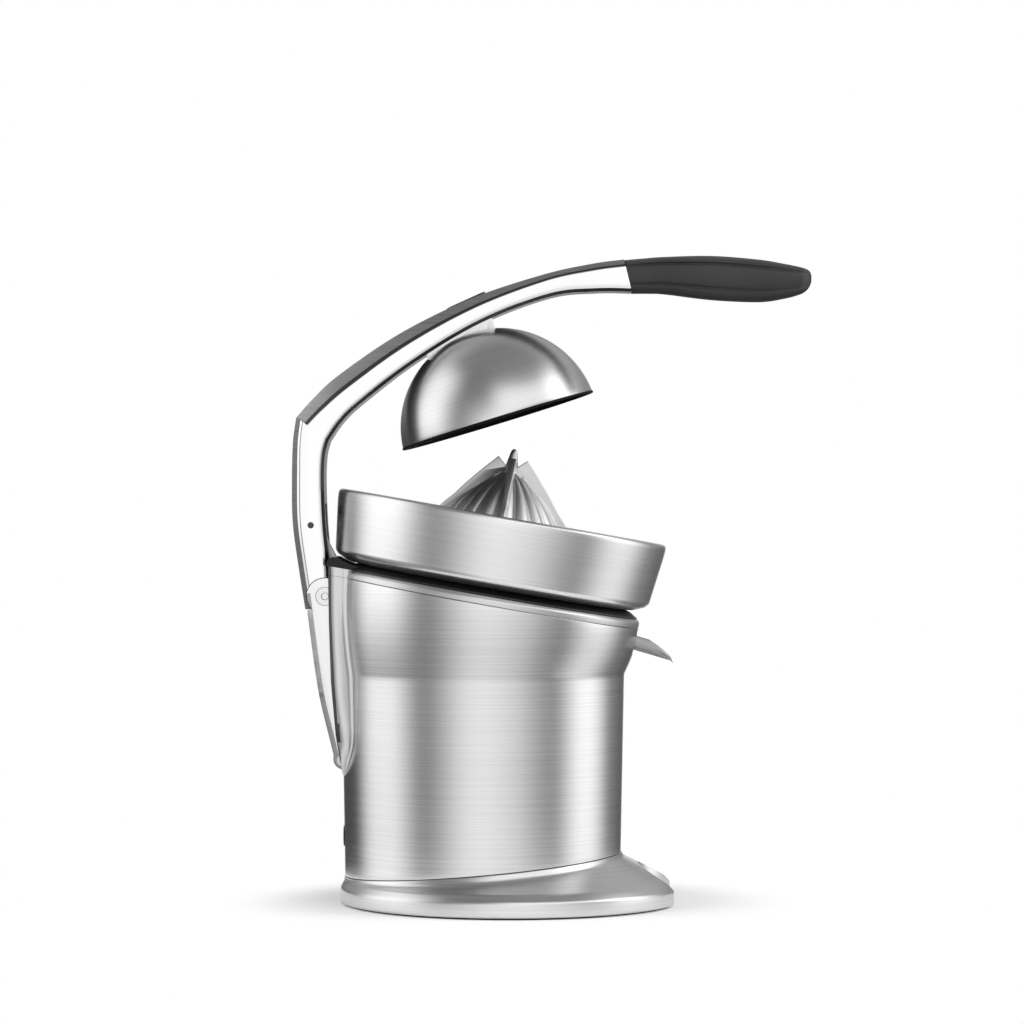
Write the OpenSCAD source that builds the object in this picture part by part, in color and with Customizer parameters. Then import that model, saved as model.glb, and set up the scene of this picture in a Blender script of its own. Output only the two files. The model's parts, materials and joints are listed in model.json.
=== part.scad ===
// Motor-driven lever citrus juice press, as its separate pieces.
// X points to the front, where the spout is, and Z points up. The origin is on
// the table, below the middle of the upright body. Lengths are in millimetres.
// The drive, cone, bowl and deck share a work axis that leans forward; heights
// along it are called v, and distances square to it are called u.

/* [Body] */
// Radius of the body at its neck, where the flare starts
body_r = 80.4; // [78.5:0.1:82.5]
// Radius of the body at its foot
body_foot_r = 78.5; // [77:0.1:80]
// Radius of the flare at its top, and of the collar
flare_r = 87; // [86:0.1:88]
// Height of the neck
neck_z = 130; // [124:1:134]
// Thickness of the sheet steel
body_wall = 1.2; // [0.8:0.1:1.6]
// Height of the collar above its seam
collar_h = 4.8; // [4:0.1:6]

/* [Work axis] */
// Forward lean of the work axis, in degrees
tilt = 10; // [9:0.5:11]
// How far the work axis stands behind the leaning frame's own origin
axis_back = 27; // [25:0.5:29]
// Place of the seam below the collar, along the work axis
seam_v = 169.2; // [168:0.1:170]

/* [Base] */
// How much larger the base's radius is than the body's foot
base_reach = 18; // [16:0.5:20]
// How far the base stands out behind the body
base_back = 2.5; // [2:0.1:4]
// Height of the upright band round the base
base_band_h = 8.3; // [7:0.1:10]
// Thickness of the base casting's wall
base_wall = 3.2; // [2.6:0.1:4]
// Gap under the casting that the rubber sole leaves
sole_gap = 1; // [0.6:0.1:1.5]
// Thickness of the rubber sole
sole_h = 3; // [2.5:0.1:4]
// Thickness of the bottom plate
plate_h = 1.5; // [1:0.1:2]
// Radius of the front notch, which a glass stands in
notch_r = 31; // [28:0.5:33]
// Distance from the base's front to the middle of the notch
notch_out = 7; // [5:0.5:10]

/* [Bowl] */
// Largest radius of the juice bowl
bowl_r = 94.5; // [93:0.1:96]
// Place of the bowl's rim, along the work axis
bowl_rim_v = 218.5; // [215:0.5:222]
// Place of the bowl's underside
bowl_floor_v = 178.5; // [178.5:0.1:179.5]
// Thickness of the bowl's wall and floor
bowl_wall = 1.4; // [1:0.1:1.8]
// Radius of the central chimney, which the spindle comes up through
chimney_r = 15; // [14:0.5:17]
// Height of the chimney above the bowl's underside
chimney_h = 17; // [14:1:19]
// Inner radius of the outlet tube
outlet_r = 5; // [4:0.1:5.5]
// Distance from the work axis to the outlet tube
outlet_u = 67; // [65:0.5:68]

/* [Strainer] */
// Inner radius of the strainer's collar
strainer_in_r = 46.6; // [46:0.1:49]
// Height of the strainer's plate above the bowl's underside
strainer_rise = 19.5; // [17:0.1:21]
// Thickness of the strainer's sheet
strainer_wall = 1; // [0.8:0.1:1.4]
// Number of slots round the plate
strainer_slots = 36; // [24:4:48]

/* [Cone] */
// Radius of the cone's foot
cone_r = 44.5; // [42:0.5:45]
// Place of the cone's foot, along the work axis
cone_foot_v = 204; // [203:0.5:206]
// Place of the tip
cone_tip_v = 257.4; // [254:0.2:259]
// Thickness of the four fins
fin_w = 1.8; // [1.2:0.1:2.6]
// Number of rounded ribs, the fins' own included
rib_count = 16; // [12:4:20]

/* [Dome] */
// Radius of the pressing dome at its rim
dome_r = 56.5; // [54:0.5:58]
// Depth of the dome
dome_depth = 53.3; // [51:0.5:55]
// Thickness of the dome's sheet
dome_wall = 1.2; // [0.8:0.1:1.6]
// Backward lean of the dome when the lever is up, in degrees
dome_lean = 17; // [16:0.5:18]
// Width of the block between dome and arm
mount_w = 20; // [18:0.5:21]

/* [Lever] */
// Width of the arm and strut where they meet
arm_w = 36; // [34:0.5:37]
// Width of the arm where the grip starts
arm_end_w = 26; // [24:0.5:30]
// Greatest width of the grip
grip_w = 33; // [30:0.5:36]
// Radius of the strut's round head
strut_head_r = 10.3; // [9.5:0.1:10.5]
// Radius of the strut's foot
strut_foot_r = 6; // [5.6:0.1:6.2]
// Radius of the pin in the strut's foot
strut_pin_r = 3.5; // [3:0.1:4]
// Radius of the two pivot bolts
pivot_r = 4; // [3.5:0.1:4.5]
// Radius of the pin at the link's lower end
link_pin_r = 2.5; // [2:0.1:3]
// Radius of the pin at the link's upper end
slot_pin_r = 2.25; // [2:0.05:2.5]
// Width of the front link
link_w = 7; // [6:0.2:7.2]

/* [Column] */
// Width of the column at the back of the body
column_w = 70; // [66:0.5:71]
// Width of the channel that the strut folds into
channel_w = 38; // [38:0.2:40]
// Height of the column's rounded lower end
column_foot_z = 71; // [69:0.5:73]

/* [Spout] */
// Width of the spout
spout_w = 22; // [18:0.5:23]
// Thickness of the spout's walls
spout_wall = 1.5; // [1.1:0.1:2]
// Slope of the spout below the deck's own slope, in degrees
spout_slope = 6.4; // [4:0.2:9]

/* [Drive] */
// Module of the gears
gear_m = 1.2; // [1.1:0.02:1.24]
// Teeth on each small gear
small_teeth = 12; // [10:1:13]
// Teeth on each large gear
large_teeth = 48; // [44:1:49]
// Radius of the spindle
spindle_r = 5; // [4.4:0.1:5.4]
// Radius of the motor
motor_r = 30; // [27:0.5:32]
// Length of the motor's steel can
motor_len = 60; // [52:1:66]
// Radius of the motor's shaft
motor_shaft_r = 2.5; // [2:0.1:3]
// Thickness of the gearbox's walls
case_wall = 3; // [2.4:0.1:3.6]

/* [Hidden] */

$fn = 96;
fit = 0.05;            // running clearance of a shaft in its hole
touch = 0.3;           // gap between curved faces that lie close
seat = 0.02;           // gap between flat faces that rest on each other
over = 1;              // how far a cutting shape runs past what it cuts
loft_sides = 96;       // sides of the lofted body and base
screw_r = 2;
small_screw_r = 1.5;

// Base circle: its radius, its middle, the notch's middle and the circle of its screws
base_screw_inset = 12.5;  // from the base's edge
base_r = body_foot_r + base_reach;
base_shift = base_reach - base_back;
notch_x = base_shift + base_r + notch_out;
base_screw_pcr = base_r - base_screw_inset;

// Seam between the base casting and the body, which rises to the front
foot_seam_z = 22.6;
foot_seam_rise = 0.088;

// Pivots of the lever, in the upright x-z plane at the middle of the press
strut_foot = [-78.7, 82.6];
arm_pivot = [-89.3, 174.6];
link_foot = [-78.0, 178.5];
link_head = [-97.3, 214.8];
// The pin strays from the eye's middle as the lever folds: the eye's middle is shifted
// by half of that, and the gap takes up the rest
link_eye_shift = [0.2, 0.95];
open_pivot_gap = 1.05;
link_eye_r = 5.6;
link_half_w = 3.6;
lug_w = 3.8;           // thickness of the arm's inner lugs
lug_r = 9;

// Where the pressing dome's rim is centred
dome_at = [8.6, 273.8];
dome_sphere_r = (dome_r * dome_r + dome_depth * dome_depth) / (2 * dome_depth);
dome_centre = dome_depth - dome_sphere_r;
dome_edge_h = 1.2;
mount_back = -27.8;    // ends of the block under the arm, across the dome's axis
mount_front = 13.9;
mount_depth = 5;       // how far the block reaches up into the arm
dome_screw_angles = [-19, 7];
dome_screw_len = 12;

// Heights along the work axis
strainer_v = bowl_floor_v + strainer_rise;
deck_h = 3;
deck_edge_v = seam_v + 3.8;
deck_seat_v = bowl_floor_v - touch;
deck_r = flare_r - 4.4;
deck_seat_r = 79;
cover_top_v = deck_edge_v - deck_h - 4;
case_floor_v = cover_top_v - case_wall - 35;
case_r = gear_m * (large_teeth / 2 + 1) + 1 + case_wall;
gear_gap = gear_m * (small_teeth + large_teeth) / 2;
gear_h = 9;
low_gear_v = case_floor_v + case_wall + 2;
high_gear_v = low_gear_v + gear_h + 4;
motor_top_v = case_floor_v - seat;
spindle_foot_v = high_gear_v - 1;
spindle_top_v = cone_foot_v + 18;
bush_h = 7;

// Spout, in the leaning frame
spout_root = [flare_r - axis_back + 1, 156.4];
spout_pivot = [-8, 3.5];      // from the root, along and square to the spout
spout_pin_r = 1.5;
spout_len = 22;
spout_depth = 7.8;
chute_w = 27;
chute_wall = 2;

column_round = 28;     // height of the round end of the column's outline
column_wall = 2.6;

base_screw_angles = [40, 130, 230, 320];
deck_screw_angles = [200, 160, 20, 340];
deck_screw_pcr = 25;

// ---- Frames and helpers ----

// Stands its children on the work axis, at height v
module on_axis(v = 0) {
    rotate([0, tilt, 0])
        translate([-axis_back, 0, v])
            children();
}

// Puts a shape drawn in the x-z plane upright, with the given width across y
module across(width) {
    rotate([90, 0, 0])
        linear_extrude(width, center = true)
            children();
}

// A cylinder that lies across the press, at a point of the x-z plane
module cross_pin(at, r, width) {
    translate([at[0], 0, at[1]])
        rotate([90, 0, 0])
            cylinder(r = r, h = width, center = true, $fn = 48);
}

// The same to both sides of the middle, from y0 to y1
module pair_pin(at, r, y0, y1) {
    for (side = [-1, 1])
        translate([at[0], side * (y0 + y1) / 2, at[1]])
            rotate([90, 0, 0])
                cylinder(r = r, h = y1 - y0, center = true, $fn = 48);
}

// A rounded bar seen from above, from x0 to x1
module obround(x0, x1, r) {
    translate([x0, 0])
        circle(r = r);
    translate([x1, 0])
        circle(r = r);
    translate([x0, -r])
        square([x1 - x0, 2 * r]);
}

// A screw pointing down, with its head on z = 0
module screw(r, length, head_r, head_h) {
    translate([0, 0, -length])
        cylinder(r = r, h = length, $fn = 32);
    difference() {
        cylinder(r = head_r, h = head_h, $fn = 32);
        translate([-head_r * 0.6, -0.4, head_h * 0.5])
            cube([head_r * 1.2, 0.8, head_h]);
    }
}

// A ring of points round the upright axis: shifted by cx, with its radius and
// height changing with the cosine of the angle and with that cosine's square
function ring(cx, r, z, z_cos = 0, z_cos2 = 0, r_cos2 = 0) = [
    for (i = [0:loft_sides - 1])
        let (a = i * 360 / loft_sides, c = cos(a), q = r + r_cos2 * c * c)
            [cx + q * c, q * sin(a), z + z_cos * c + z_cos2 * c * c]
];

// A closed solid through rings that all have the same number of points
module loft(rings) {
    n = len(rings[0]);
    last = len(rings) - 1;
    polyhedron(
        points = [for (r = rings) each r],
        faces = concat(
            [[for (i = [0:n - 1]) i]],
            [for (k = [0:last - 1]) for (i = [0:n - 1])
                [k * n + i, (k + 1) * n + i, k * n + (i + 1) % n]],
            [for (k = [0:last - 1]) for (i = [0:n - 1])
                [(k + 1) * n + i, (k + 1) * n + (i + 1) % n, k * n + (i + 1) % n]],
            [[for (i = [n - 1:-1:0]) last * n + i]]),
        convexity = 6);
}

// Catmull-Rom curve through rows of numbers, with the ends held
function curve_row(rows, i, t) =
    let (
        a = rows[max(i - 1, 0)],
        b = rows[i],
        c = rows[i + 1],
        d = rows[min(i + 2, len(rows) - 1)]
    )
    (2 * b + t * (c - a) + t * t * (2 * a - 5 * b + 4 * c - d)
        + t * t * t * (3 * b - a - 3 * c + d)) / 2;
function curve(rows, steps) = concat(
    [for (i = [0:len(rows) - 2]) for (j = [0:steps - 1]) curve_row(rows, i, j / steps)],
    [rows[len(rows) - 1]]);

// ---- Base ----

// Outside of the base casting, from its foot to the seam with the body
module base_outside() {
    band_top = sole_gap + base_band_h;
    loft([
        ring(base_shift, base_r - 0.8, sole_gap),
        ring(base_shift, base_r, sole_gap + 0.8),
        ring(base_shift, base_r, band_top),
        ring(base_shift - 1, base_r - 3.2, band_top + 4),
        ring(0.8, body_foot_r + 4.5, 16.6, 6.25, 3.65, -3.2),
        ring(0.4, body_foot_r + 1.8, 18.4, 6.4, 2.8, -1.2),
        ring(0, body_foot_r + 0.5, foot_seam_z - touch, foot_seam_rise * body_foot_r)
    ]);
}

module base_inside() {
    difference() {
        loft([
            ring(base_shift, base_r - base_wall, -over),
            ring(base_shift, base_r - base_wall, sole_gap + base_band_h - 1.4),
            ring(base_shift - 1, base_r - base_wall - 4, sole_gap + base_band_h + 1.2),
            ring(0.8, body_foot_r + 0.5, 13, 5.6, 3, -3),
            ring(0, body_foot_r - base_wall, 17, 6.4, 1.2),
            ring(0, body_foot_r - base_wall, foot_seam_z + 12)
        ]);
        translate([notch_x, 0, -2 * over])
            cylinder(r = notch_r + base_wall, h = 60);
    }
}

// Places its children at the screws in the base's underside
module at_base_screws() {
    for (a = base_screw_angles)
        translate([base_shift + base_screw_pcr * cos(a), base_screw_pcr * sin(a), 0])
            children();
}

// Outline of what closes the base's underside
module sole_outline() {
    difference() {
        translate([base_shift, 0])
            circle(r = base_r - base_wall - touch);
        translate([notch_x, 0])
            circle(r = notch_r + base_wall + touch);
    }
}

module rubber_sole() {
    color([0.12, 0.12, 0.12])
        difference() {
            linear_extrude(sole_h)
                sole_outline();
            at_base_screws()
                translate([0, 0, -over])
                    cylinder(r = 4.6, h = sole_h + 2 * over, $fn = 48);
        }
}

module base_plate() {
    color([0.55, 0.56, 0.58])
        translate([0, 0, sole_h + seat])
            difference() {
                linear_extrude(plate_h)
                    sole_outline();
                at_base_screws()
                    translate([0, 0, -over])
                        cylinder(r = screw_r + 0.2, h = plate_h + 2 * over, $fn = 32);
            }
}

module base_screws() {
    color([0.7, 0.7, 0.72])
        at_base_screws()
            translate([0, 0, sole_h])
                mirror([0, 0, 1])
                    screw(screw_r, plate_h + 5, 3.6, 1.8);
}

module base_casting() {
    boss_z = sole_h + plate_h + 2 * seat;
    color([0.78, 0.79, 0.8])
        difference() {
            union() {
                difference() {
                    base_outside();
                    base_inside();
                }
                at_base_screws()
                    translate([0, 0, boss_z])
                        cylinder(r = 4.8, h = sole_gap + base_band_h + 1.6 - boss_z, $fn = 48);
            }
            translate([notch_x, 0, -over])
                cylinder(r = notch_r, h = 60);
            at_base_screws()
                cylinder(r = screw_r + seat, h = boss_z + 5.2, $fn = 32);
        }
}

// ---- Body ----

// Ring of the flare at fraction t of the way from the neck to the collar's seam
function flare_ring(t, inset) =
    let (
        top_x = seam_v * sin(tilt) - axis_back * cos(tilt),
        top_z = seam_v * cos(tilt) + axis_back * sin(tilt),
        r = body_r + (flare_r - body_r) * (1 - pow(1 - t, 1.6)) - inset,
        lean = tilt * t,
        cx = top_x * t,
        cz = neck_z + (top_z - neck_z) * t
    )
    [for (i = [0:loft_sides - 1])
        let (a = i * 360 / loft_sides)
            [cx + r * cos(a) * cos(lean), r * sin(a), cz - r * cos(a) * sin(lean)]];

module body_solid(inset, extra) {
    loft(concat(
        [ring(0, body_foot_r - inset, foot_seam_z - extra, foot_seam_rise * body_foot_r)],
        [for (t = [0, 0.15, 0.32, 0.52, 0.75, 1]) flare_ring(t, inset)],
        extra > 0 ? [[for (p = flare_ring(1, inset)) p + [0, 0, extra]]] : []));
}

// Outline of the column seen from behind: straight sides and a rounded lower end
module column_outline(half) {
    polygon(concat(
        [for (a = [0:9:180])
            [half * cos(a), column_foot_z + column_round * (1 - sin(a))]],
        [[-half, 240], [half, 240]]));
}

// Space that the column at the back takes out of the body
module column_slot(gap) {
    translate([-66, 0, 0])
        rotate([90, 0, -90])
            linear_extrude(100)
                column_outline(column_w / 2 + gap);
}

module body_shell() {
    color([0.72, 0.73, 0.74])
        difference() {
            body_solid(0, 0);
            body_solid(body_wall, over);
            column_slot(touch / 2);
            spout_port();
            gland_hole(6.2);
        }
}

// Window in the front of the flare that the spout comes through
module spout_port() {
    rotate([0, tilt, 0])
        translate([spout_root[0] - 12, -spout_w / 2 - 1, spout_root[1] - 2])
            cube([24, spout_w + 2, spout_depth + 5.5]);
}

module gland_hole(r) {
    translate([-body_foot_r - 5, 0, 38])
        rotate([0, 90, 0])
            cylinder(r = r, h = 20, $fn = 48);
}

module cord_gland() {
    color([0.1, 0.1, 0.1])
        translate([-body_foot_r - 0.9, 0, 38])
            rotate([0, 90, 0])
                difference() {
                    union() {
                        cylinder(r = 6, h = 9, $fn = 48);
                        translate([0, 0, 3.4])
                            cylinder(r = 8, h = 2, $fn = 48);
                    }
                    translate([0, 0, -over])
                        cylinder(r = 3.4, h = 12, $fn = 48);
                }
}

// ---- Column at the back ----

module column_casting() {
    back = [[-66, 70], [-78.6, 70], [-79.4, 74], [-82.6, 96], [-85.3, 127],
        [-86.4, 160], [-87.0, 195], [-66, 195]];
    pocket_w = (column_w - channel_w) / 2 - 2 * column_wall;
    color([0.8, 0.81, 0.82])
        difference() {
            union() {
                difference() {
                    intersection() {
                        across(column_w)
                            polygon(back);
                        column_slot(0);
                    }
                    // channel, open to the back and at the top
                    translate([-120, -channel_w / 2, strut_foot[1] - strut_foot_r - 0.5])
                        cube([120 - 69.5, channel_w, 150]);
                    // pockets in the two cheeks, open to the inside of the body
                    for (side = [-1, 1])
                        translate([-66, side * (channel_w + column_w) / 4, 0])
                            rotate([0, -90, 0])
                                translate([column_foot_z + column_round + 1, -pocket_w / 2, -over])
                                    cube([60, pocket_w, 13]);
                }
                link_lugs();
            }
            // the collar sits on top
            rotate([0, tilt, 0])
                translate([-200, -50, seam_v - touch / 2])
                    cube([250, 100, 60]);
            cross_pin(strut_foot, strut_pin_r + seat, channel_w + 10);
            cross_pin(link_foot, link_pin_r + seat, channel_w);
        }
}

// Two lugs that carry the foot of the front link
module link_lugs() {
    y0 = link_w / 2 + touch;
    pair_pin(link_foot, 4.6, y0, y0 + 2.7);
    for (side = [-1, 1])
        translate([0, side * (y0 + 1.35), 0])
            across(2.7)
                polygon([[-66.5, 168], [-66.5, 183.2], link_foot + [0, 4.6],
                    link_foot + [-4, -2.3]]);
}

module strut_pin() {
    color([0.6, 0.6, 0.62])
        cross_pin(strut_foot, strut_pin_r, channel_w + 9.6);
}

module link_foot_pin() {
    color([0.6, 0.6, 0.62])
        cross_pin(link_foot, link_pin_r, link_w + 2 * (touch + 2.7));
}

// ---- Top of the body ----

module top_collar() {
    top = seam_v + collar_h;
    color([0.78, 0.79, 0.8])
        difference() {
            union() {
                on_axis()
                    rotate_extrude()
                        polygon([
                            [flare_r, seam_v + seat], [flare_r, top - 1.6],
                            [flare_r - 1.6, top], [deck_r + touch, top],
                            [deck_r + touch, seam_v - 4], [flare_r - body_wall - touch - 1.4, seam_v - 4],
                            [flare_r - body_wall - touch, seam_v + seat]
                        ]);
                // cap over the column
                on_axis(seam_v + seat)
                    difference() {
                        translate([-flare_r - 4.6, -column_w / 2, 0])
                            cube([18, column_w, collar_h]);
                        translate([0, 0, -over])
                            cylinder(r = flare_r - 1, h = 20);
                    }
            }
            spout_port();
            on_axis(seam_v - 20)
                translate([-flare_r - 30, -channel_w / 2, 0])
                    cube([60, channel_w, 60]);
            // the column's cheeks stand inside the body here
            rotate([0, tilt, 0])
                translate([-150, -column_w / 2 - touch, seam_v - 30])
                    cube([60, column_w + 2 * touch, 30]);
        }
}

// Low black hood on each side of the channel, behind the bowl
module deck_hoods() {
    inner = channel_w / 2 + touch;
    outer = column_w / 2 - 0.6;
    foot_v = seam_v + collar_h + seat;
    for (side = [-1, 1])
        intersection() {
            translate([0, side * (inner + outer) / 2, 0])
                across(outer - inner)
                    polygon([[-87.4, 180], [-87.8, 193.4], [-86.8, 195.6], [-84.6, 196.9],
                        [-82.6, 196.8], [-79, 195], [-74, 192.9], [-66, 190.8], [-66, 180]]);
            rotate([0, tilt, 0])
                translate([-150, -50, foot_v])
                    cube([150, 100, 60]);
        }
}

// Places its children at the screws that hold the gearbox under the deck
module at_deck_screws() {
    for (a = deck_screw_angles)
        translate([deck_screw_pcr * cos(a), deck_screw_pcr * sin(a), 0])
            children();
}

module deck() {
    // the lip lies on the collar
    lip_v = seam_v + collar_h + seat;
    color([0.09, 0.09, 0.1])
        union() {
            deck_hoods();
            on_axis()
                difference() {
                    union() {
                        rotate_extrude()
                            polygon([
                                [0, deck_seat_v - deck_h], [deck_seat_r - deck_h, deck_seat_v - deck_h],
                                [deck_seat_r - deck_h, deck_edge_v - deck_h],
                                [deck_r, deck_edge_v - deck_h], [deck_r, lip_v],
                                [flare_r - 1.7, lip_v], [flare_r - 1.8, lip_v + 0.5],
                                [deck_seat_r + 2, deck_seat_v - 1], [deck_seat_r - 1, deck_seat_v],
                                [0, deck_seat_v]
                            ]);
                        translate([0, 0, cover_top_v + seat])
                            at_deck_screws()
                                cylinder(r = 5, h = deck_seat_v - 1 - cover_top_v, $fn = 48);
                        translate([0, 0, deck_seat_v - bush_h - 1])
                            cylinder(r = spindle_r + 6, h = bush_h, $fn = 64);
                    }
                    // bores for the bush, the screws and the bowl's outlet
                    translate([0, 0, deck_seat_v - bush_h - 2])
                        cylinder(r = spindle_r + 3 + seat, h = bush_h + 4, $fn = 64);
                    translate([0, 0, cover_top_v - over])
                        at_deck_screws()
                            cylinder(r = screw_r + 0.1, h = 40, $fn = 32);
                    translate([0, 0, deck_seat_v - 1.6])
                        at_deck_screws()
                            cylinder(r = 3.8, h = 5, $fn = 32);
                    translate([outlet_u, 0, deck_edge_v - 10])
                        cylinder(r = outlet_r + bowl_wall + 0.8, h = 30, $fn = 48);
                    // clearance for the front link
                    translate([-flare_r - 10, -channel_w / 2, deck_edge_v - 10])
                        cube([24, channel_w, 30]);
                }
        }
}

module deck_screws() {
    color([0.6, 0.6, 0.62])
        on_axis(deck_seat_v - 1.6)
            at_deck_screws()
                screw(screw_r, deck_seat_v - 1.6 - cover_top_v + case_wall - 0.4, 3.6, 1.5);
}

module spindle_seal() {
    color([0.08, 0.08, 0.08])
        on_axis(deck_seat_v + seat)
            rotate_extrude()
                polygon([
                    [spindle_r + fit, 1.2], [spindle_r + 1.2, 0], [chimney_r - bowl_wall - 3, 0],
                    [chimney_r - bowl_wall - 3, 1.4], [spindle_r + 2.4, 2.2],
                    [spindle_r + 1, 5], [spindle_r + fit, 5]
                ]);
}

module spindle_bushes() {
    color([0.72, 0.53, 0.3])
        for (v = [deck_seat_v - bush_h - 1, cover_top_v - bush_h + 0.5])
            on_axis(v)
                difference() {
                    cylinder(r = spindle_r + 3, h = bush_h, $fn = 64);
                    translate([0, 0, -over])
                        cylinder(r = spindle_r + fit, h = bush_h + 2 * over, $fn = 64);
                }
}

// ---- Gearbox ----

// Outline round both gear centres
module case_outline(inset) {
    rotate(90)
        obround(0, gear_gap, case_r - inset);
}

module at_case_screws() {
    for (p = [[case_r - 1, gear_gap / 2], [1 - case_r, gear_gap / 2],
            [0, 1 - case_r], [0, gear_gap + case_r - 1]])
        translate(p)
            children();
}

module gearbox_case() {
    floor_v = case_floor_v;
    height = cover_top_v - case_wall - floor_v - seat;
    color([0.16, 0.16, 0.17])
        on_axis(floor_v)
            difference() {
                union() {
                    linear_extrude(height)
                        case_outline(0);
                    translate([0, 0, height - 12])
                        at_case_screws()
                            cylinder(r = 4.5, h = 12, $fn = 48);
                }
                translate([0, 0, case_wall])
                    linear_extrude(height)
                        case_outline(case_wall);
                translate([0, 0, -over])
                    cylinder(r = 8 + seat, h = case_wall + 2 * over, $fn = 48);
                translate([0, gear_gap, -over])
                    cylinder(r = 3 + seat, h = case_wall + 2 * over, $fn = 48);
                translate([0, 0, height - 11])
                    at_case_screws()
                        cylinder(r = small_screw_r + seat, h = 12, $fn = 32);
                at_motor_screws()
                    translate([0, 0, -over])
                        cylinder(r = small_screw_r + 0.1, h = case_wall + 2 * over, $fn = 32);
            }
}

module gearbox_cover() {
    color([0.2, 0.2, 0.21])
        on_axis(cover_top_v - case_wall)
            difference() {
                union() {
                    linear_extrude(case_wall)
                        case_outline(0);
                    at_case_screws()
                        cylinder(r = 4.5, h = case_wall, $fn = 48);
                    translate([0, 0, case_wall + 0.5 - bush_h])
                        cylinder(r = spindle_r + 5.5, h = bush_h - 0.5, $fn = 64);
                    translate([0, gear_gap, -4])
                        cylinder(r = 6, h = 5, $fn = 48);
                }
                translate([0, 0, -bush_h])
                    cylinder(r = spindle_r + 3 + seat, h = 3 * bush_h, $fn = 64);
                translate([0, gear_gap, -5])
                    cylinder(r = 3 + seat, h = 6.5, $fn = 48);
                translate([0, 0, -over])
                    at_case_screws()
                        cylinder(r = small_screw_r + 0.1, h = case_wall + 2 * over, $fn = 32);
                translate([0, 0, 0.4])
                    at_deck_screws()
                        cylinder(r = screw_r + seat, h = case_wall, $fn = 32);
            }
}

module gearbox_screws() {
    color([0.6, 0.6, 0.62])
        on_axis(cover_top_v + seat)
            at_case_screws()
                screw(small_screw_r, case_wall + 9, 2.8, 1.6);
}

module idler_axle() {
    color([0.65, 0.65, 0.67])
        on_axis(case_floor_v + 0.2)
            translate([0, gear_gap, 0])
                cylinder(r = 3, h = cover_top_v - case_wall + 1 - case_floor_v - 0.2, $fn = 48);
}

// A straight-toothed gear with thinned teeth
module gear(teeth, width, bore_r, turn = 0) {
    pitch_r = gear_m * teeth / 2;
    step = 360 / teeth;
    linear_extrude(width)
        difference() {
            rotate(turn)
                polygon([for (i = [0:teeth - 1]) for (p = [
                        [-0.36, -1.15], [-0.2, 0], [-0.09, 0.9],
                        [0.09, 0.9], [0.2, 0], [0.36, -1.15]])
                    let (a = (i + p[0]) * step, r = pitch_r + gear_m * p[1])
                        [r * cos(a), r * sin(a)]]);
            circle(r = bore_r, $fn = 48);
        }
}

module idler_gear() {
    color([0.9, 0.88, 0.8])
        on_axis()
            translate([0, gear_gap, 0]) {
                translate([0, 0, low_gear_v])
                    gear(large_teeth, gear_h, 3 + fit, -90);
                translate([0, 0, low_gear_v + gear_h])
                    difference() {
                        cylinder(r = gear_m * small_teeth / 2 - 1.6, h = 3, $fn = 48);
                        translate([0, 0, -over])
                            cylinder(r = 3 + fit, h = 5, $fn = 48);
                    }
                translate([0, 0, low_gear_v + gear_h + 3])
                    gear(small_teeth, gear_h + 3, 3 + fit, -90);
            }
}

module output_gear() {
    color([0.9, 0.88, 0.8])
        on_axis(high_gear_v) {
            gear(large_teeth, gear_h, spindle_r + seat, 90 + 180 / large_teeth);
        }
}

module motor_pinion() {
    color([0.8, 0.65, 0.35])
        on_axis(low_gear_v)
            gear(small_teeth, gear_h, motor_shaft_r + seat, 90 + 180 / small_teeth);
}

module spindle_shaft() {
    drive_h = 14;
    color([0.75, 0.76, 0.78])
        on_axis(spindle_foot_v)
            difference() {
                cylinder(r = spindle_r, h = spindle_top_v - spindle_foot_v, $fn = 64);
                // two flats that drive the cone
                for (side = [-1, 1])
                    translate([side * (spindle_r + 3.6) - 5, -10, spindle_top_v - spindle_foot_v - drive_h])
                        cube([10, 20, drive_h + over]);
            }
}

module spindle_clip() {
    color([0.4, 0.4, 0.42])
        on_axis(deck_seat_v + 5.4)
            difference() {
                cylinder(r = spindle_r + 2, h = 1, $fn = 48);
                translate([0, 0, -over])
                    cylinder(r = spindle_r + seat, h = 4, $fn = 48);
                translate([0, -spindle_r * 0.5, -over])
                    cube([20, spindle_r, 4]);
            }
}

// ---- Motor ----

module at_motor_screws() {
    for (a = [35, 145, 215, 325])
        translate([16 * cos(a), 16 * sin(a), 0])
            children();
}

module motor_can() {
    color([0.5, 0.52, 0.55])
        on_axis(motor_top_v - motor_len)
            difference() {
                union() {
                    cylinder(r = motor_r, h = motor_len);
                    cylinder(r = 8, h = motor_len + case_wall, $fn = 48);
                }
                translate([0, 0, -over])
                    cylinder(r = motor_r - 1.6, h = motor_len - 1);
                translate([0, 0, motor_len - 5])
                    cylinder(r = 5, h = 10, $fn = 48);
                translate([0, 0, motor_len - 3])
                    at_motor_screws()
                        cylinder(r = small_screw_r + seat, h = 5, $fn = 32);
            }
}

module motor_end_cap() {
    color([0.12, 0.12, 0.13])
        on_axis(motor_top_v - motor_len - 8 - seat)
            difference() {
                union() {
                    cylinder(r = motor_r, h = 8);
                    cylinder(r = motor_r - 1.6 - touch, h = 12);
                }
                translate([0, 0, 3])
                    cylinder(r = motor_r - 5, h = 20);
                translate([0, 0, -over])
                    cylinder(r = 5 + seat, h = 10, $fn = 48);
            }
}

module motor_bushes() {
    color([0.72, 0.53, 0.3])
        for (v = [motor_top_v - 4, motor_top_v - motor_len - 8])
            on_axis(v)
                difference() {
                    cylinder(r = 5 - seat, h = 5, $fn = 48);
                    translate([0, 0, -over])
                        cylinder(r = motor_shaft_r + fit, h = 8, $fn = 48);
                }
}

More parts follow.
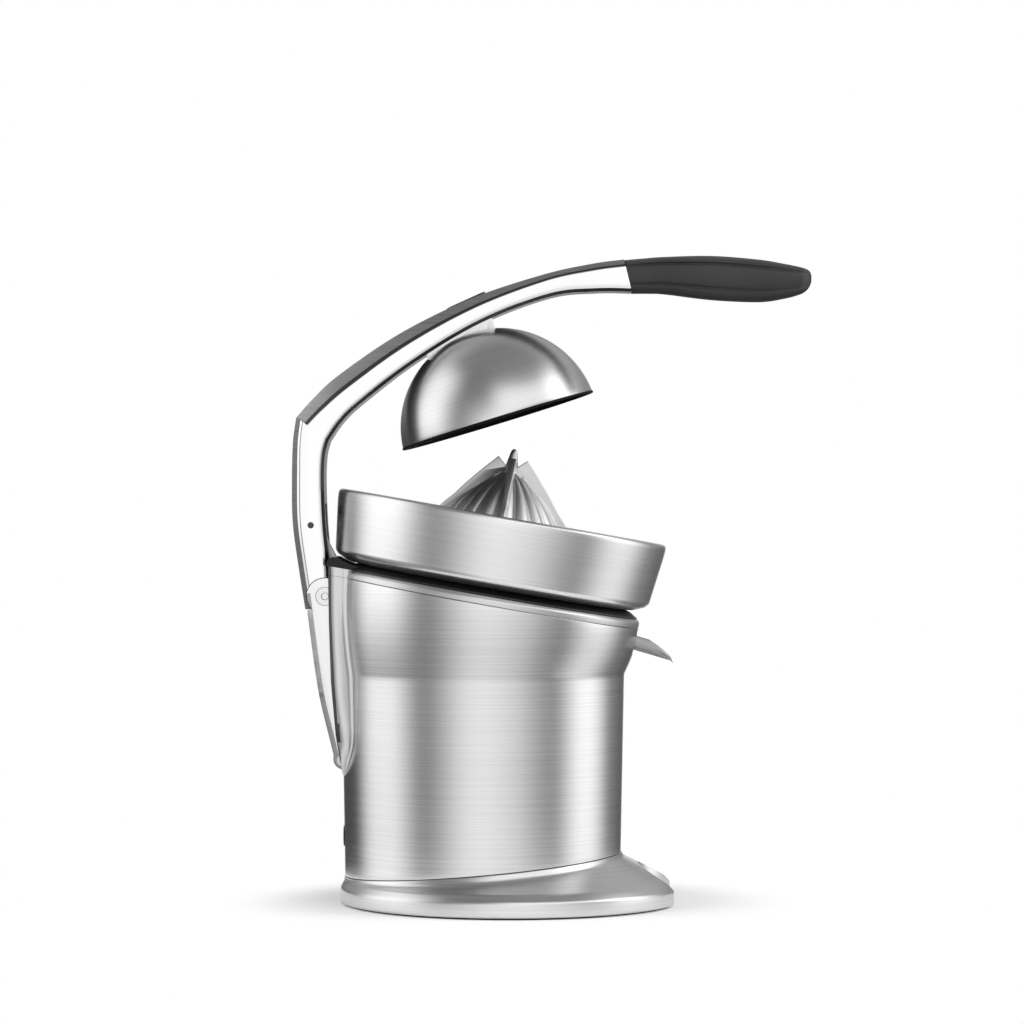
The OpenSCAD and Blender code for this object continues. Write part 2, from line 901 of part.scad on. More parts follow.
module motor_magnets() {
    color([0.25, 0.25, 0.27])
        on_axis(motor_top_v - motor_len + 14)
            for (side = [0, 180])
                rotate(side)
                    rotate([0, 0, -65])
                        rotate_extrude(angle = 130)
                            translate([motor_r - 6.4, 0])
                                square([4.8, motor_len - 22]);
}

module motor_screws() {
    color([0.6, 0.6, 0.62])
        on_axis(case_floor_v + case_wall + seat)
            at_motor_screws()
                screw(small_screw_r, case_wall + 2, 2.6, 1.4);
}

module motor_shaft() {
    foot = motor_top_v - motor_len - 7;
    color([0.75, 0.76, 0.78])
        on_axis(foot)
            cylinder(r = motor_shaft_r, h = low_gear_v + gear_h + 1 - foot, $fn = 48);
}

module armature() {
    color([0.7, 0.42, 0.25])
        on_axis(motor_top_v - motor_len + 16)
            linear_extrude(motor_len - 28)
                difference() {
                    circle(r = motor_r - 7.2);
                    circle(r = motor_shaft_r + seat, $fn = 48);
                    for (a = [0:30:330])
                        rotate(a)
                            translate([motor_r - 14, -1.2])
                                square([8, 2.4]);
                }
}

module commutator() {
    color([0.75, 0.45, 0.25])
        on_axis(motor_top_v - motor_len + 4)
            linear_extrude(10)
                difference() {
                    circle(r = 8, $fn = 64);
                    circle(r = motor_shaft_r + seat, $fn = 48);
                    for (a = [0:30:330])
                        rotate(a)
                            translate([6.5, -0.3])
                                square([3, 0.6]);
                }
}

// ---- Switch ----

// Leaning frame of the switch, under the deck and ahead of the column
module at_switch() {
    rotate([0, tilt, 0])
        translate([-axis_back - 62, -30, deck_edge_v - deck_h - 16])
            children();
}

module micro_switch() {
    color([0.1, 0.1, 0.11])
        at_switch()
            difference() {
                union() {
                    translate([-5, -10, 0])
                        cube([10, 20, 10]);
                    translate([-5, -10, 9])
                        cube([3, 20, 7 - seat]);
                }
                translate([0, 4, 6])
                    cylinder(r = 1.5 + fit, h = 10, $fn = 32);
                for (y = [-6, 0.5])
                    translate([-10, y, 3])
                        rotate([0, 90, 0])
                            cylinder(r = 1.2, h = 20, $fn = 32);
            }
}

module switch_plunger() {
    color([0.75, 0.15, 0.12])
        at_switch()
            translate([0, 4, 7.5])
                cylinder(r = 1.5, h = 4, $fn = 32);
}

// ---- Spout ----

// Frame of the spout: along its bed, with z square to it
module on_spout() {
    rotate([0, tilt, 0])
        translate([spout_root[0], 0, spout_root[1]])
            rotate([0, spout_slope, 0])
                children();
}

module outlet_chute() {
    half = chute_w / 2;
    top = deck_edge_v - deck_h - seat;
    back = outlet_u - axis_back - 7;
    root = spout_root[0];
    // inside of the collar, at the chute's sides
    collar_u = sqrt(pow(deck_r + touch, 2) - half * half) - axis_back - touch;
    color([0.14, 0.14, 0.15])
        difference() {
            rotate([0, tilt, 0]) {
                for (side = [-1, 1])
                    translate([0, side * (half - chute_wall / 2), 0])
                        across(chute_wall)
                            polygon([[back, 163], [root - 13, 156], [root - 4, 156],
                                [root - 4, 163.5], [collar_u, 164], [root - 11, top],
                                [back, top]]);
                // the back ends under the bowl's outlet
                translate([back, -half + 1, 163])
                    cube([chute_wall, chute_w - 2, bowl_floor_v - 9 - touch - 163]);
                across(chute_w - 2)
                    polygon([[back, 166], [root - 13.4, 162.7], [root - 13.4, 164.3],
                        [back, 167.6]]);
                across(17)
                    polygon([[root - 15, 163.1], [root - 11, 162.2], [root - 11, 163.8],
                        [root - 15, 164.7]]);
            }
            on_spout()
                translate([spout_pivot[0], 0, spout_pivot[1]])
                    rotate([90, 0, 0])
                        cylinder(r = spout_pin_r + seat, h = 60, center = true, $fn = 32);
        }
}

// Seen from above: it narrows to a rounded nose
module spout_plan(half) {
    translate([-14, -half])
        square([22, 2 * half]);
    translate([8, 0])
        scale([1.32, 1])
            circle(r = half);
}

module spout() {
    color([0.8, 0.81, 0.82])
        on_spout()
            difference() {
                intersection() {
                    across(spout_w)
                        polygon([[-13, 0], [spout_len - 1.5, 0], [spout_len, -0.9],
                            [spout_len - 3, 2.6], [14.3, 4.9], [6, spout_depth], [-13, spout_depth]]);
                    linear_extrude(30, center = true)
                        spout_plan(spout_w / 2);
                }
                translate([0, 0, spout_wall])
                    linear_extrude(20)
                        spout_plan(spout_w / 2 - spout_wall);
                translate([spout_pivot[0], 0, spout_pivot[1]])
                    rotate([90, 0, 0])
                        cylinder(r = spout_pin_r + fit, h = 60, center = true, $fn = 32);
            }
}

module spout_pin() {
    color([0.6, 0.6, 0.62])
        on_spout()
            translate([spout_pivot[0], 0, spout_pivot[1]])
                rotate([90, 0, 0])
                    cylinder(r = spout_pin_r, h = chute_w, center = true, $fn = 32);
}

// ---- Bowl, strainer and cone ----

module juice_bowl() {
    f = bowl_floor_v;
    t = bowl_wall;
    color([0.75, 0.76, 0.77])
        on_axis()
            difference() {
                union() {
                    rotate_extrude()
                        polygon([
                            [chimney_r - t, f], [bowl_r - 12.5, f], [bowl_r - 5.6, f + 3.1],
                            [bowl_r - 3.9, f + 5.2], [bowl_r, f + 34.5], [bowl_r, bowl_rim_v - 2.5],
                            [bowl_r - 0.7, bowl_rim_v - 0.8], [bowl_r - 2.3, bowl_rim_v],
                            [bowl_r - 3.3, bowl_rim_v], [bowl_r - 3.3, bowl_rim_v - t],
                            [bowl_r - t - 0.6, bowl_rim_v - t - 1], [bowl_r - t, f + 34.5],
                            [bowl_r - 3.9 - t, f + 5.6], [bowl_r - 6.4, f + t + 2.6],
                            [bowl_r - 13, f + t], [chimney_r, f + t], [chimney_r, f + chimney_h],
                            [chimney_r - t, f + chimney_h]
                        ]);
                    translate([outlet_u, 0, f - 9])
                        cylinder(r = outlet_r + t, h = 9.5, $fn = 48);
                }
                translate([outlet_u, 0, f - 10])
                    cylinder(r = outlet_r, h = 20, $fn = 48);
            }
}

module strainer() {
    r0 = strainer_in_r;
    w = strainer_wall;
    foot = bowl_floor_v + bowl_wall + touch;
    rim_r = bowl_r - bowl_wall - 2.4;
    color([0.8, 0.81, 0.82])
        on_axis()
            difference() {
                rotate_extrude()
                    polygon([
                        [r0, foot], [r0 + w, foot], [r0 + w, strainer_v], [rim_r - 5, strainer_v],
                        [rim_r, strainer_v + 12], [rim_r - w, strainer_v + 12],
                        [rim_r - 5 - w, strainer_v + w], [r0 + w, strainer_v + w],
                        [r0 + w, strainer_v + 7], [r0, strainer_v + 7]
                    ]);
                for (i = [0:strainer_slots - 1])
                    rotate(i * 360 / strainer_slots)
                        translate([r0 + 6, -1, strainer_v - over])
                            cube([rim_r - r0 - 15, 2, 4]);
                // drain openings in the collar, level with the bowl's floor
                for (a = [0:45:315])
                    rotate(a)
                        translate([r0 - 3, -5, foot - over])
                            cube([8, 10, 7]);
            }
}

// Radius of the cone's ribs at height v
cone_rows = [[cone_r, cone_foot_v], [cone_r - 0.8, cone_foot_v + 3],
    [36.4, 208.5], [28.3, 221.3], [20.4, 231], [11.5, 239], [5, 243], [3, 246.5]];

function rib_ring(row) = [
    for (i = [0:rib_count * 6 - 1])
        let (
            a = i * 60 / rib_count,
            depth = row[0] * 0.1 * min(1, max(0, (row[1] - cone_foot_v - 2) / 6)),
            r = row[0] - depth * (1 - abs(cos(a * rib_count / 2)))
        )
        [r * cos(a), r * sin(a), row[1]]
];

module reamer_cone() {
    fin = [[0, cone_foot_v + 4], [41.5, cone_foot_v + 6], [36, 220], [29.4, 226], [24, 234],
        [17, 242.4], [8.4, 252], [3.4, 247.6], [0, 247.6]];
    color([0.82, 0.83, 0.84])
        on_axis()
            difference() {
                union() {
                    loft([for (row = cone_rows) rib_ring(row)]);
                    for (a = [0, 90, 180, 270])
                        rotate(a)
                            across(fin_w)
                                polygon(fin);
                    rotate_extrude()
                        polygon([[0, 240], [4, 243], [3.4, 247.6], [1.8, cone_tip_v - 1.6],
                            [1, cone_tip_v - 0.4], [0, cone_tip_v]]);
                }
                // hollow under the cone, round its hub
                rotate_extrude()
                    polygon([[spindle_r + 4, cone_foot_v - over], [cone_r - 5, cone_foot_v - over],
                        [cone_r - 5, cone_foot_v], [29, cone_foot_v + 8], [22, cone_foot_v + 18],
                        [spindle_r + 4, cone_foot_v + 20]]);
                intersection() {
                    translate([0, 0, cone_foot_v - over])
                        cylinder(r = spindle_r + fit, h = spindle_top_v + touch - cone_foot_v + over,
                            $fn = 64);
                    union() {
                        translate([-20, -20, cone_foot_v - 2])
                            cube([40, 40, 6]);
                        translate([-3.7, -20, cone_foot_v - 2])
                            cube([7.4, 40, 60]);
                    }
                }
            }
}

// ---- Lever ----

// Rows along the arm: outer edge x and z, inner edge x and z, half width,
// height of the bevel on the outer edge, height of the bevel on the inner edge
arm_rows = [
    [-99.6, 163, -84, 163, arm_w / 2, 3.4, 3],
    [-104.1, 190.4, -84.9, 190.4, arm_w / 2, 3.4, 3.4],
    [-107.6, 216, -87.4, 216, arm_w / 2, 3.6, 3.6],
    [-108.1, 240, -88.4, 240, arm_w / 2, 4, 4],
    [-107.4, 267, -87.8, 257.5, arm_w / 2, 5.6, 4.4],
    [-103.4, 279.6, -83.4, 267, arm_w / 2, 7.6, 4.8],
    [-82.2, 299.6, -68, 282.8, arm_w / 2 - 0.4, 8.4, 4.6],
    [-47, 323.6, -37.8, 305.8, arm_w / 2 - 1.4, 7.4, 4.2],
    [-6.2, 343.6, -0.6, 328, arm_w / 2 - 3, 6, 3.8],
    [34.6, 357.1, 38.6, 343.4, arm_end_w / 2 + 1, 4.4, 3.4],
    [62, 363.2, 64.4, 346.8, arm_end_w / 2, 4.2, 3],
    [80, 365.6, 84.4, 346.9, arm_end_w / 2, 4.2, 3]
];

// Eight points round the arm for one row
function arm_ring(row, inset = 0) =
    let (
        o = [row[0], row[1]],
        i = [row[2], row[3]],
        d = (i - o) / norm(i - o),
        w = row[4] - inset,
        top = o + d * inset,
        low = i - d * inset,
        at = function (p, y) [p[0], y, p[1]]
    )
    [
        at(top + d * row[5], -w), at(low - d * row[6], -w), at(low, row[6] - w),
        at(low, w - row[6]), at(low - d * row[6], w), at(top + d * row[5], w),
        at(top, w - row[5]), at(top, row[5] - w)
    ];

module arm_solid() {
    loft([for (row = curve(arm_rows, 4)) arm_ring(row)]);
}

// The tang inside the grip
module tang(grow) {
    w = 12 + 2 * grow;
    across(w)
        polygon([[76, 352 - grow], [84, 352 - grow], [150 + grow, 350.6 - grow],
            [150 + grow, 360.6 + grow], [84, 362 + grow], [76, 362 + grow]]);
}

// Frame of the cover plug on the top of the arm, normal to it
module at_plug() {
    translate([-9.6, 0, 342.2])
        rotate([0, -24.5, 0])
            children();
}

plug_len = 24;
plug_r = 4.5;
plug_h = 2.4;

module arm_casting() {
    wall_y = link_w / 2 + touch + 2.7 + touch;
    color([0.85, 0.86, 0.87])
        difference() {
            union() {
                difference() {
                    arm_solid();
                    // the strut's cheeks close round the arm's lower end
                    cross_pin(arm_pivot, strut_head_r + touch + 0.1, 60);
                    translate([-130, -40, 120])
                        cube([60, 80, 168.2 - 120]);
                    translate([arm_pivot[0], -40, 140])
                        cube([40, 80, arm_pivot[1] - 140]);
                    // hollow for the front link
                    across(2 * (wall_y + lug_w - 0.3))
                        polygon([[-104.2, 150], [-104.2, 222], [-99, 227], [-70, 227], [-70, 150]]);
                }
                pair_pin(arm_pivot, lug_r, wall_y, wall_y + lug_w);
                for (side = [-1, 1])
                    translate([0, side * (wall_y + lug_w / 2), 0])
                        across(lug_w)
                            polygon([arm_pivot + [-lug_r, 0], [-99.5, 196], [-88.4, 196],
                                arm_pivot + [lug_r - 2, 3.6]]);
                tang(0);
            }
            cross_pin(arm_pivot, pivot_r + fit, 60);
            cross_pin(link_head, slot_pin_r + seat, 60);
            at_plug()
                translate([0, 0, -plug_h])
                    linear_extrude(20)
                        obround(-plug_len / 2 + plug_r, plug_len / 2 - plug_r, plug_r + 0.1);
            dome_ball(touch);
            mount_block(0.1);
            on_dome()
                at_dome_screws()
                    cylinder(r = screw_r + seat, h = dome_screw_len + 1, $fn = 32);
        }
}

// Ball that the dome's outside is part of, grown by a gap
module dome_ball(grow) {
    on_dome()
        translate([0, 0, dome_centre])
            sphere(r = dome_sphere_r + grow);
}

module cover_plug() {
    color([0.08, 0.08, 0.09])
        at_plug()
            translate([0, 0, -plug_h + seat])
                linear_extrude(plug_h - 0.2)
                    obround(-plug_len / 2 + plug_r, plug_len / 2 - plug_r, plug_r);
}

// Rows along the grip: upper edge x and z, lower edge x and z, half width
grip_rows = [
    [80.4, 365.9, 84.8, 346.6, arm_end_w / 2 + 0.3],
    [103, 367.7, 104, 346.2, grip_w / 2 - 1.6],
    [130, 368.3, 130, 343, grip_w / 2],
    [157, 366.2, 157, 341.8, grip_w / 2 - 0.2],
    [172, 363.6, 171, 343.6, grip_w / 2 - 2],
    [180.5, 361.2, 179.5, 346, grip_w / 2 - 4.6],
    [185.4, 358.6, 184.8, 348.6, grip_w / 2 - 8.5],
    [187.2, 355.6, 187, 351.8, grip_w / 2 - 13]
];

function grip_ring(row) =
    let (
        m = [row[0] + row[2], row[1] + row[3]] / 2,
        d = [row[0] - row[2], row[1] - row[3]] / 2
    )
    [for (k = [0:23])
        let (
            c = cos(k * 15),
            s = sin(k * 15),
            q = pow(abs(s), 0.75) * sign(s),
            y = pow(abs(c), 0.85) * sign(c)
        )
        [m[0] + d[0] * q, row[4] * y, m[1] + d[1] * q]];

module grip() {
    color([0.1, 0.1, 0.1])
        difference() {
            loft([for (row = curve(grip_rows, 3)) grip_ring(row)]);
            tang(0.1);
            arm_solid();
        }
}

// Frame of the dome: its rim is at z = 0 and its top points along z
module on_dome() {
    translate([dome_at[0], 0, dome_at[1]])
        rotate([0, -dome_lean, 0])
            children();
}

module at_dome_screws() {
    for (a = dome_screw_angles)
        translate([0, 0, dome_centre])
            rotate([0, a, 0])
                translate([0, 0, dome_sphere_r - dome_wall])
                    children();
}

module pressing_dome() {
    color([0.75, 0.76, 0.77])
        on_dome()
            difference() {
                rotate_extrude()
                    intersection() {
                        translate([0, dome_centre])
                            difference() {
                                circle(r = dome_sphere_r, $fn = 160);
                                circle(r = dome_sphere_r - dome_wall, $fn = 160);
                            }
                        translate([0, dome_edge_h])
                            square([100, 100]);
                    }
                at_dome_screws()
                    cylinder(r = screw_r + 0.2, h = 10, center = true, $fn = 32);
            }
}

module dome_edge() {
    r = dome_r - 0.1;
    color([0.1, 0.1, 0.1])
        on_dome()
            rotate_extrude()
                polygon([[r - dome_wall - 0.5, 0.3], [r - dome_wall, 0], [r, 0], [r + 0.4, 0.3],
                    [r + 0.4, dome_edge_h - seat], [r - dome_wall - 0.5, dome_edge_h - seat]]);
}

// Block that stands between dome and arm and reaches up into the arm's underside,
// grown by a gap; its top follows the arm
module mount_block(grow) {
    rows = [for (row = curve(arm_rows, 4)) if (row[2] > -75 && row[2] < 60) row];
    top = [for (row = rows)
        let (o = [row[0], row[1]], i = [row[2], row[3]], d = (o - i) / norm(o - i))
            i + d * (mount_depth + grow)];
    intersection() {
        on_dome()
            translate([mount_back - grow, -mount_w / 2 - grow, 30])
                cube([mount_front - mount_back + 2 * grow, mount_w + 2 * grow, 40]);
        across(80)
            polygon(concat([[-75, 250]], top, [[60, 250]]));
    }
}

module dome_mount() {
    color([0.8, 0.81, 0.82])
        difference() {
            mount_block(0);
            dome_ball(seat);
            on_dome()
                at_dome_screws()
                    cylinder(r = screw_r + seat, h = 20, $fn = 32);
        }
}

module dome_screws() {
    color([0.7, 0.71, 0.72])
        on_dome()
            at_dome_screws()
                translate([0, 0, -0.15])
                    mirror([0, 0, 1])
                        screw(screw_r, dome_screw_len, 3.6, 1.8);
}

// ---- Strut and link ----

module strut_solid() {
    head = arm_pivot;
    foot = strut_foot;
    outer = curve([[-82.9, 78.4], [-86.9, 94.6], [-92.3, 117], [-96, 140.2], [-99.4, 166.6]], 4);
    cross_pin(head, strut_head_r, arm_w);
    cross_pin(foot, strut_foot_r, arm_w);
    across(arm_w)
        polygon(concat([foot], outer,
            [head + [-6, -8], head + [strut_head_r - 0.1, 0], foot + [strut_foot_r - 0.1, 0]]));
}

module strut() {
    cheek_y = link_w / 2 + touch + 2.7 + touch + lug_w + touch;
    color([0.85, 0.86, 0.87])
        difference() {
            strut_solid();
            // hollow between the cheeks, closed at the back
            across(2 * cheek_y)
                polygon([[-60, 92], [-83, 92], [-88, 112], [-92.4, 140], [-93.4, 150],
                    [-120, 156], [-120, 200], [-60, 200]]);
            cross_pin(strut_foot, strut_pin_r + fit, 60);
            cross_pin(arm_pivot, pivot_r + seat, 60);
            pair_pin(arm_pivot, 5.3, arm_w / 2 - 2.4, arm_w / 2 + 4);
        }
}

module pivot_bolts() {
    y_end = link_w / 2 + touch + 2.7 + touch + 0.2;
    color([0.7, 0.71, 0.73])
        difference() {
            union() {
                pair_pin(arm_pivot, pivot_r, y_end, arm_w / 2 - 2);
                pair_pin(arm_pivot, 5.2, arm_w / 2 - 2.36, arm_w / 2 - 0.1);
            }
            pair_pin(arm_pivot, 2, arm_w / 2 - 1.4, arm_w / 2 + 4);
        }
}

module pivot_washers() {
    y0 = link_w / 2 + touch + 2.7 + touch + lug_w + seat;
    color([0.3, 0.3, 0.32])
        difference() {
            pair_pin(arm_pivot, 7.5, y0, y0 + touch - 2 * seat);
            cross_pin(arm_pivot, pivot_r + seat, 60);
        }
}

module front_link() {
    eye = link_head + link_eye_shift;
    d = (eye - link_foot) / norm(eye - link_foot);
    n = link_half_w * [-d[1], d[0]];
    color([0.6, 0.61, 0.63])
        difference() {
            union() {
                cross_pin(link_foot, 4.6, link_w);
                cross_pin(eye, link_eye_r, link_w);
                across(link_w)
                    polygon([link_foot + n, eye + n, eye - n, link_foot - n]);
            }
            cross_pin(link_foot, link_pin_r + fit, 40);
            cross_pin(eye, slot_pin_r + open_pivot_gap, 40);
        }
}

module link_head_pin() {
    color([0.15, 0.15, 0.16])
        cross_pin(link_head, slot_pin_r, arm_w - 0.2);
}

module link_spacers() {
    wall_y = link_w / 2 + touch + 2.7 + touch + lug_w - 0.3;
    color([0.5, 0.5, 0.52])
        difference() {
            pair_pin(link_head, 4.2, link_w / 2 + touch, wall_y - seat);
            cross_pin(link_head, slot_pin_r + seat, 60);
        }
}

rubber_sole();
base_plate();
base_screws();
base_casting();
body_shell();
cord_gland();
column_casting();
strut_pin();
link_foot_pin();
top_collar();
deck();
deck_screws();
spindle_seal();
spindle_bushes();
gearbox_cover();
gearbox_case();
gearbox_screws();
idler_axle();
motor_can();
motor_end_cap();
motor_magnets();
motor_bushes();
motor_screws();
micro_switch();
switch_plunger();
outlet_chute();
spout();
spout_pin();
motor_shaft();
motor_pinion();
armature();
commutator();
idler_gear();
spindle_shaft();
output_gear();
spindle_clip();
reamer_cone();
juice_bowl();
strainer();
strut();
pivot_bolts();
pivot_washers();
front_link();
link_head_pin();
link_spacers();
arm_casting();
grip();
cover_plug();
dome_mount();
pressing_dome();
dome_edge();
dome_screws();
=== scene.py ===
# Looks of a motor-driven lever citrus press, put on its packed construction model.
# Shapes are drawn in millimetres and stored in metres; X is the front, where the spout is.
import json
import math

import bmesh
import bpy
from mathutils import Matrix, Vector


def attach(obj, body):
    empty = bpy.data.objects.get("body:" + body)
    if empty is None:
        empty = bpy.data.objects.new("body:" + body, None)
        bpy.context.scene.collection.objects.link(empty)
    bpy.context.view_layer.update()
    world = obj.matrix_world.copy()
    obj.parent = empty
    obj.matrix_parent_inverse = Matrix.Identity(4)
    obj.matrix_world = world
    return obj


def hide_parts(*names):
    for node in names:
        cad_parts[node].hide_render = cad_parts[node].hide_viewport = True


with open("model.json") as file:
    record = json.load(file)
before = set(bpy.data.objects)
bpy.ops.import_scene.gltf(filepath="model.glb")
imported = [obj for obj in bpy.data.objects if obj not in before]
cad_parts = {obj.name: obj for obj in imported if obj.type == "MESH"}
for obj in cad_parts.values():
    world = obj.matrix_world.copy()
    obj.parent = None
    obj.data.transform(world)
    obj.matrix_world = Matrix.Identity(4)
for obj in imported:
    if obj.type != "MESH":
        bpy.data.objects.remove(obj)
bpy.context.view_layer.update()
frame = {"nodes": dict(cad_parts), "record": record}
mm = 0.001
print("frame loaded:", len(frame["nodes"]), "nodes")


# The two leaning frames that the round pieces stand in
work = {
    "lean": 10.0,        # degrees, forward
    "axisBack": 27.0,    # mm from the leaning frame's own origin
}
dome = {
    "lean": -17.0,       # degrees, backward
    "rimX": 8.6,
    "rimZ": 273.8,
    "rimRadius": 56.5,
    "depth": 53.3,
    "wall": 1.2,
    "edgeHeight": 1.2,
}


def turned(axis, degrees):
    return Matrix.Rotation(math.radians(degrees), 4, axis)


leanFrame = turned("Y", work["lean"])
axisFrame = leanFrame @ Matrix.Translation((-work["axisBack"], 0, 0))
domeFrame = Matrix.Translation((dome["rimX"], 0, dome["rimZ"])) @ turned("Y", dome["lean"])


# Shader maths: a socket that can be added, multiplied and so on
class Wire:
    def __init__(self, tree, socket=None):
        self.tree, self.socket = tree, socket

    def node(self, kind, settings=None, inputs=None, output=0):
        made = self.tree.nodes.new(kind)
        for key, value in (settings or {}).items():
            if key == "stops":
                ramp = made.color_ramp
                while len(ramp.elements) < len(value):
                    ramp.elements.new(0.5)
                for element, (place, shade) in zip(ramp.elements, value):
                    element.position = place
                    element.color = (shade, shade, shade, 1)
            else:
                setattr(made, key, value)
        for key, value in (inputs or {}).items():
            if isinstance(value, Wire):
                self.tree.links.new(value.socket, made.inputs[key])
            else:
                made.inputs[key].default_value = value
        return Wire(self.tree, made.outputs[output] if made.outputs else None)

    def other(self, output):
        return Wire(self.tree, self.socket.node.outputs[output])

    def math(self, operation, first, second=0.0):
        return self.node("ShaderNodeMath", {"operation": operation}, {0: first, 1: second})

    def __add__(self, other):
        return self.math("ADD", self, other)

    def __sub__(self, other):
        return self.math("SUBTRACT", self, other)

    def __mul__(self, other):
        return self.math("MULTIPLY", self, other)

    def __rsub__(self, other):
        return self.math("SUBTRACT", other, self)

    __radd__ = __add__
    __rmul__ = __mul__

    def smooth(self, low, high):
        return self.node("ShaderNodeMapRange", {"interpolation_type": "SMOOTHSTEP"},
                         {"Value": self, "From Min": low, "From Max": high})

    def mix(self, first, second):
        inputs = {0: self, 6: first, 7: second}
        return self.node("ShaderNodeMix", {"data_type": "RGBA"}, inputs, output=2)


def newFinish(name):
    finish = bpy.data.materials.new(name)
    finish.use_nodes = True
    finish.node_tree.nodes.clear()
    return finish, Wire(finish.node_tree)


def closeFinish(start, inputs):
    shader = start.node("ShaderNodeBsdfPrincipled", None, inputs)
    start.node("ShaderNodeOutputMaterial", None, {"Surface": shader})


def noise(at, scale, detail):
    return at.node("ShaderNodeTexNoise", None, {"Vector": at, "Scale": scale, "Detail": detail})


def relief(height, strength):
    return height.node("ShaderNodeBump", None,
                       {"Height": height, "Strength": strength, "Distance": 0.0002})


def grey(level):
    return (level, level, level, 1)


# A darker and a lighter shade of a colour
def shadesOf(colour, vary):
    return [tuple(part * share for part in colour) + (1,) for share in (1 - vary, 1 + vary)]


# Brushed steel: fine streaks that run round the local Z axis
def brushedSteel(name, look, centre=(0, 0, 0), lean=0.0):
    finish, start = newFinish(name)
    at = start.node("ShaderNodeTexCoord", output="Object")
    turn = (0, math.radians(lean), 0)
    local = start.node("ShaderNodeMapping", {"vector_type": "TEXTURE"},
                       {"Vector": at, "Location": centre, "Rotation": turn})
    streaks = []
    for scale, detail in ((look["coarse"], 2), (look["fine"], 1)):
        stretched = start.node("ShaderNodeVectorMath", {"operation": "MULTIPLY"},
                               {0: local, 1: scale})
        streaks.append(noise(stretched, 1.0, detail))
    cloud = noise(local, look["cloudScale"], 3)
    grain = (streaks[0] + streaks[1]) * 0.5
    colour = grain.smooth(0.3, 0.7).mix(grey(look["dark"]), grey(look["light"]))
    rough = look["rough"] + (grain - 0.5) * look["roughSpread"] + (cloud - 0.5) * look["cloud"]
    closeFinish(start, {"Base Color": colour, "Metallic": 1.0, "Roughness": rough,
                        "Anisotropic": look["anisotropy"], "Anisotropic Rotation": 0.25,
                        "Normal": relief(grain, look["bump"])})
    return finish


# Cast and machined metal: a faint mottled tone with no direction
def plainMetal(name, level, grain, rough, spread, bump, vary=0.03, tint=(1, 1, 1)):
    finish, start = newFinish(name)
    at = start.node("ShaderNodeTexCoord", output="Object")
    fine = noise(at, grain, 3)
    tone = (fine * 0.6 + noise(at, 18.0, 2) * 0.4).smooth(0.35, 0.65)
    shades = shadesOf([level * part for part in tint], vary)
    closeFinish(start, {"Base Color": tone.mix(*shades), "Metallic": 1.0,
                        "Roughness": rough + (tone - 0.5) * spread, "Normal": relief(fine, bump)})
    return finish


# Moulded plastic and rubber: a fine pebbled surface
def moulded(name, colour, pebble, bump, rough, gloss=0.5):
    finish, start = newFinish(name)
    at = start.node("ShaderNodeTexCoord", output="Object")
    cloud = noise(at, 30.0, 3)
    closeFinish(start, {"Base Color": cloud.smooth(0.3, 0.7).mix(*shadesOf(colour, 0.15)),
                        "Roughness": rough + (cloud - 0.5) * 0.12, "Specular IOR Level": gloss,
                        "Normal": relief(noise(at, pebble, 2), bump)})
    return finish


steelLook = {
    "dark": 0.66, "light": 0.74, "rough": 0.25, "roughSpread": 0.10,
    "cloud": 0.04, "cloudScale": 14.0, "coarse": (5, 5, 1300), "fine": (14, 14, 4200),
    "bump": 0.06, "anisotropy": 0.45,
}
armLook = {**steelLook, "rough": 0.4, "coarse": (60, 60, 1600), "anisotropy": 0.0}
rimPoint = (dome["rimX"] * mm, 0, dome["rimZ"] * mm)
axisPoint = tuple(axisFrame.translation * mm)
finishes = {
    "body": brushedSteel("bodySteel", steelLook),
    "bowl": brushedSteel("bowlSteel", {**steelLook, "dark": 0.74, "light": 0.84, "rough": 0.29},
                         axisPoint, work["lean"]),
    "dome": brushedSteel("domeSteel", {**steelLook, "rough": 0.31, "anisotropy": 0.3},
                         rimPoint, dome["lean"]),
    "base": brushedSteel("baseSteel", {**steelLook, "light": 0.78, "rough": 0.3, "bump": 0.04},
                         (0.0155, 0, 0)),
    # The arm's bevels are brushed, and their darker steel is painted reflection, darkest on the low
    # bevels;
    # armBevel also covers the faces cut into the arm for its hollows, holes and plug recess, as painted
    # shade
    "armBevel": brushedSteel("armBevel", {**armLook, "dark": 0.16, "light": 0.24}),
    "armTop": brushedSteel("armTop", {**armLook, "dark": 0.38, "light": 0.54}),
}
metals = {
    # name, colour, grain, roughness and its spread, bump, variation of the colour, tint
    "cone": ("coneSteel", 0.7, 900, 0.42, 0.05, 0.02, 0.02),
    # the spout's steel is made darker than the body's: painted shade
    "spout": ("spoutSteel", 0.34, 1500, 0.36, 0.04, 0.02, 0.02),
    "cast": ("satinCast", 0.74, 2400, 0.22, 0.03, 0.02, 0.015),
    # the column's and collar's cast is a little darker than the other cast pieces: painted shade
    "column": ("columnCast", 0.66, 2400, 0.34, 0.03, 0.02, 0.015),
    "strut": ("strutCast", 0.8, 2400, 0.22, 0.03, 0.02, 0.015),
    "armFace": ("armFace", 0.86, 1800, 0.16, 0.02, 0.01, 0.008),
    "armLine": ("armLine", 0.34, 1800, 0.4, 0.04, 0.02),
    # and shade inside the pivot sockets; the second paints shade by the arm's face and on the column's
    # back
    # near-black copies of the arm's steel: the first paints dark reflection on the arm's soft inner
    # edges
    "armEdge": ("armEdge", 0.07, 1800, 0.3, 0.06, 0.02),
    "armDeep": ("armDeep", 0.1, 1800, 0.42, 0.04, 0.03),
    "skirt": ("deckSkirt", 0.13, 2400, 0.4, 0.04, 0.02),
    "machined": ("machinedSteel", 0.55, 900, 0.3, 0.1, 0.05),
    "plated": ("platedSteel", 0.7, 700, 0.16, 0.06, 0.02),
    "copper": ("copper", 0.75, 900, 0.3, 0.1, 0.05, 0.03, (1, 0.6, 0.4)),
    "bronze": ("sinteredBronze", 0.6, 1500, 0.42, 0.15, 0.2, 0.03, (1, 0.74, 0.42)),
}
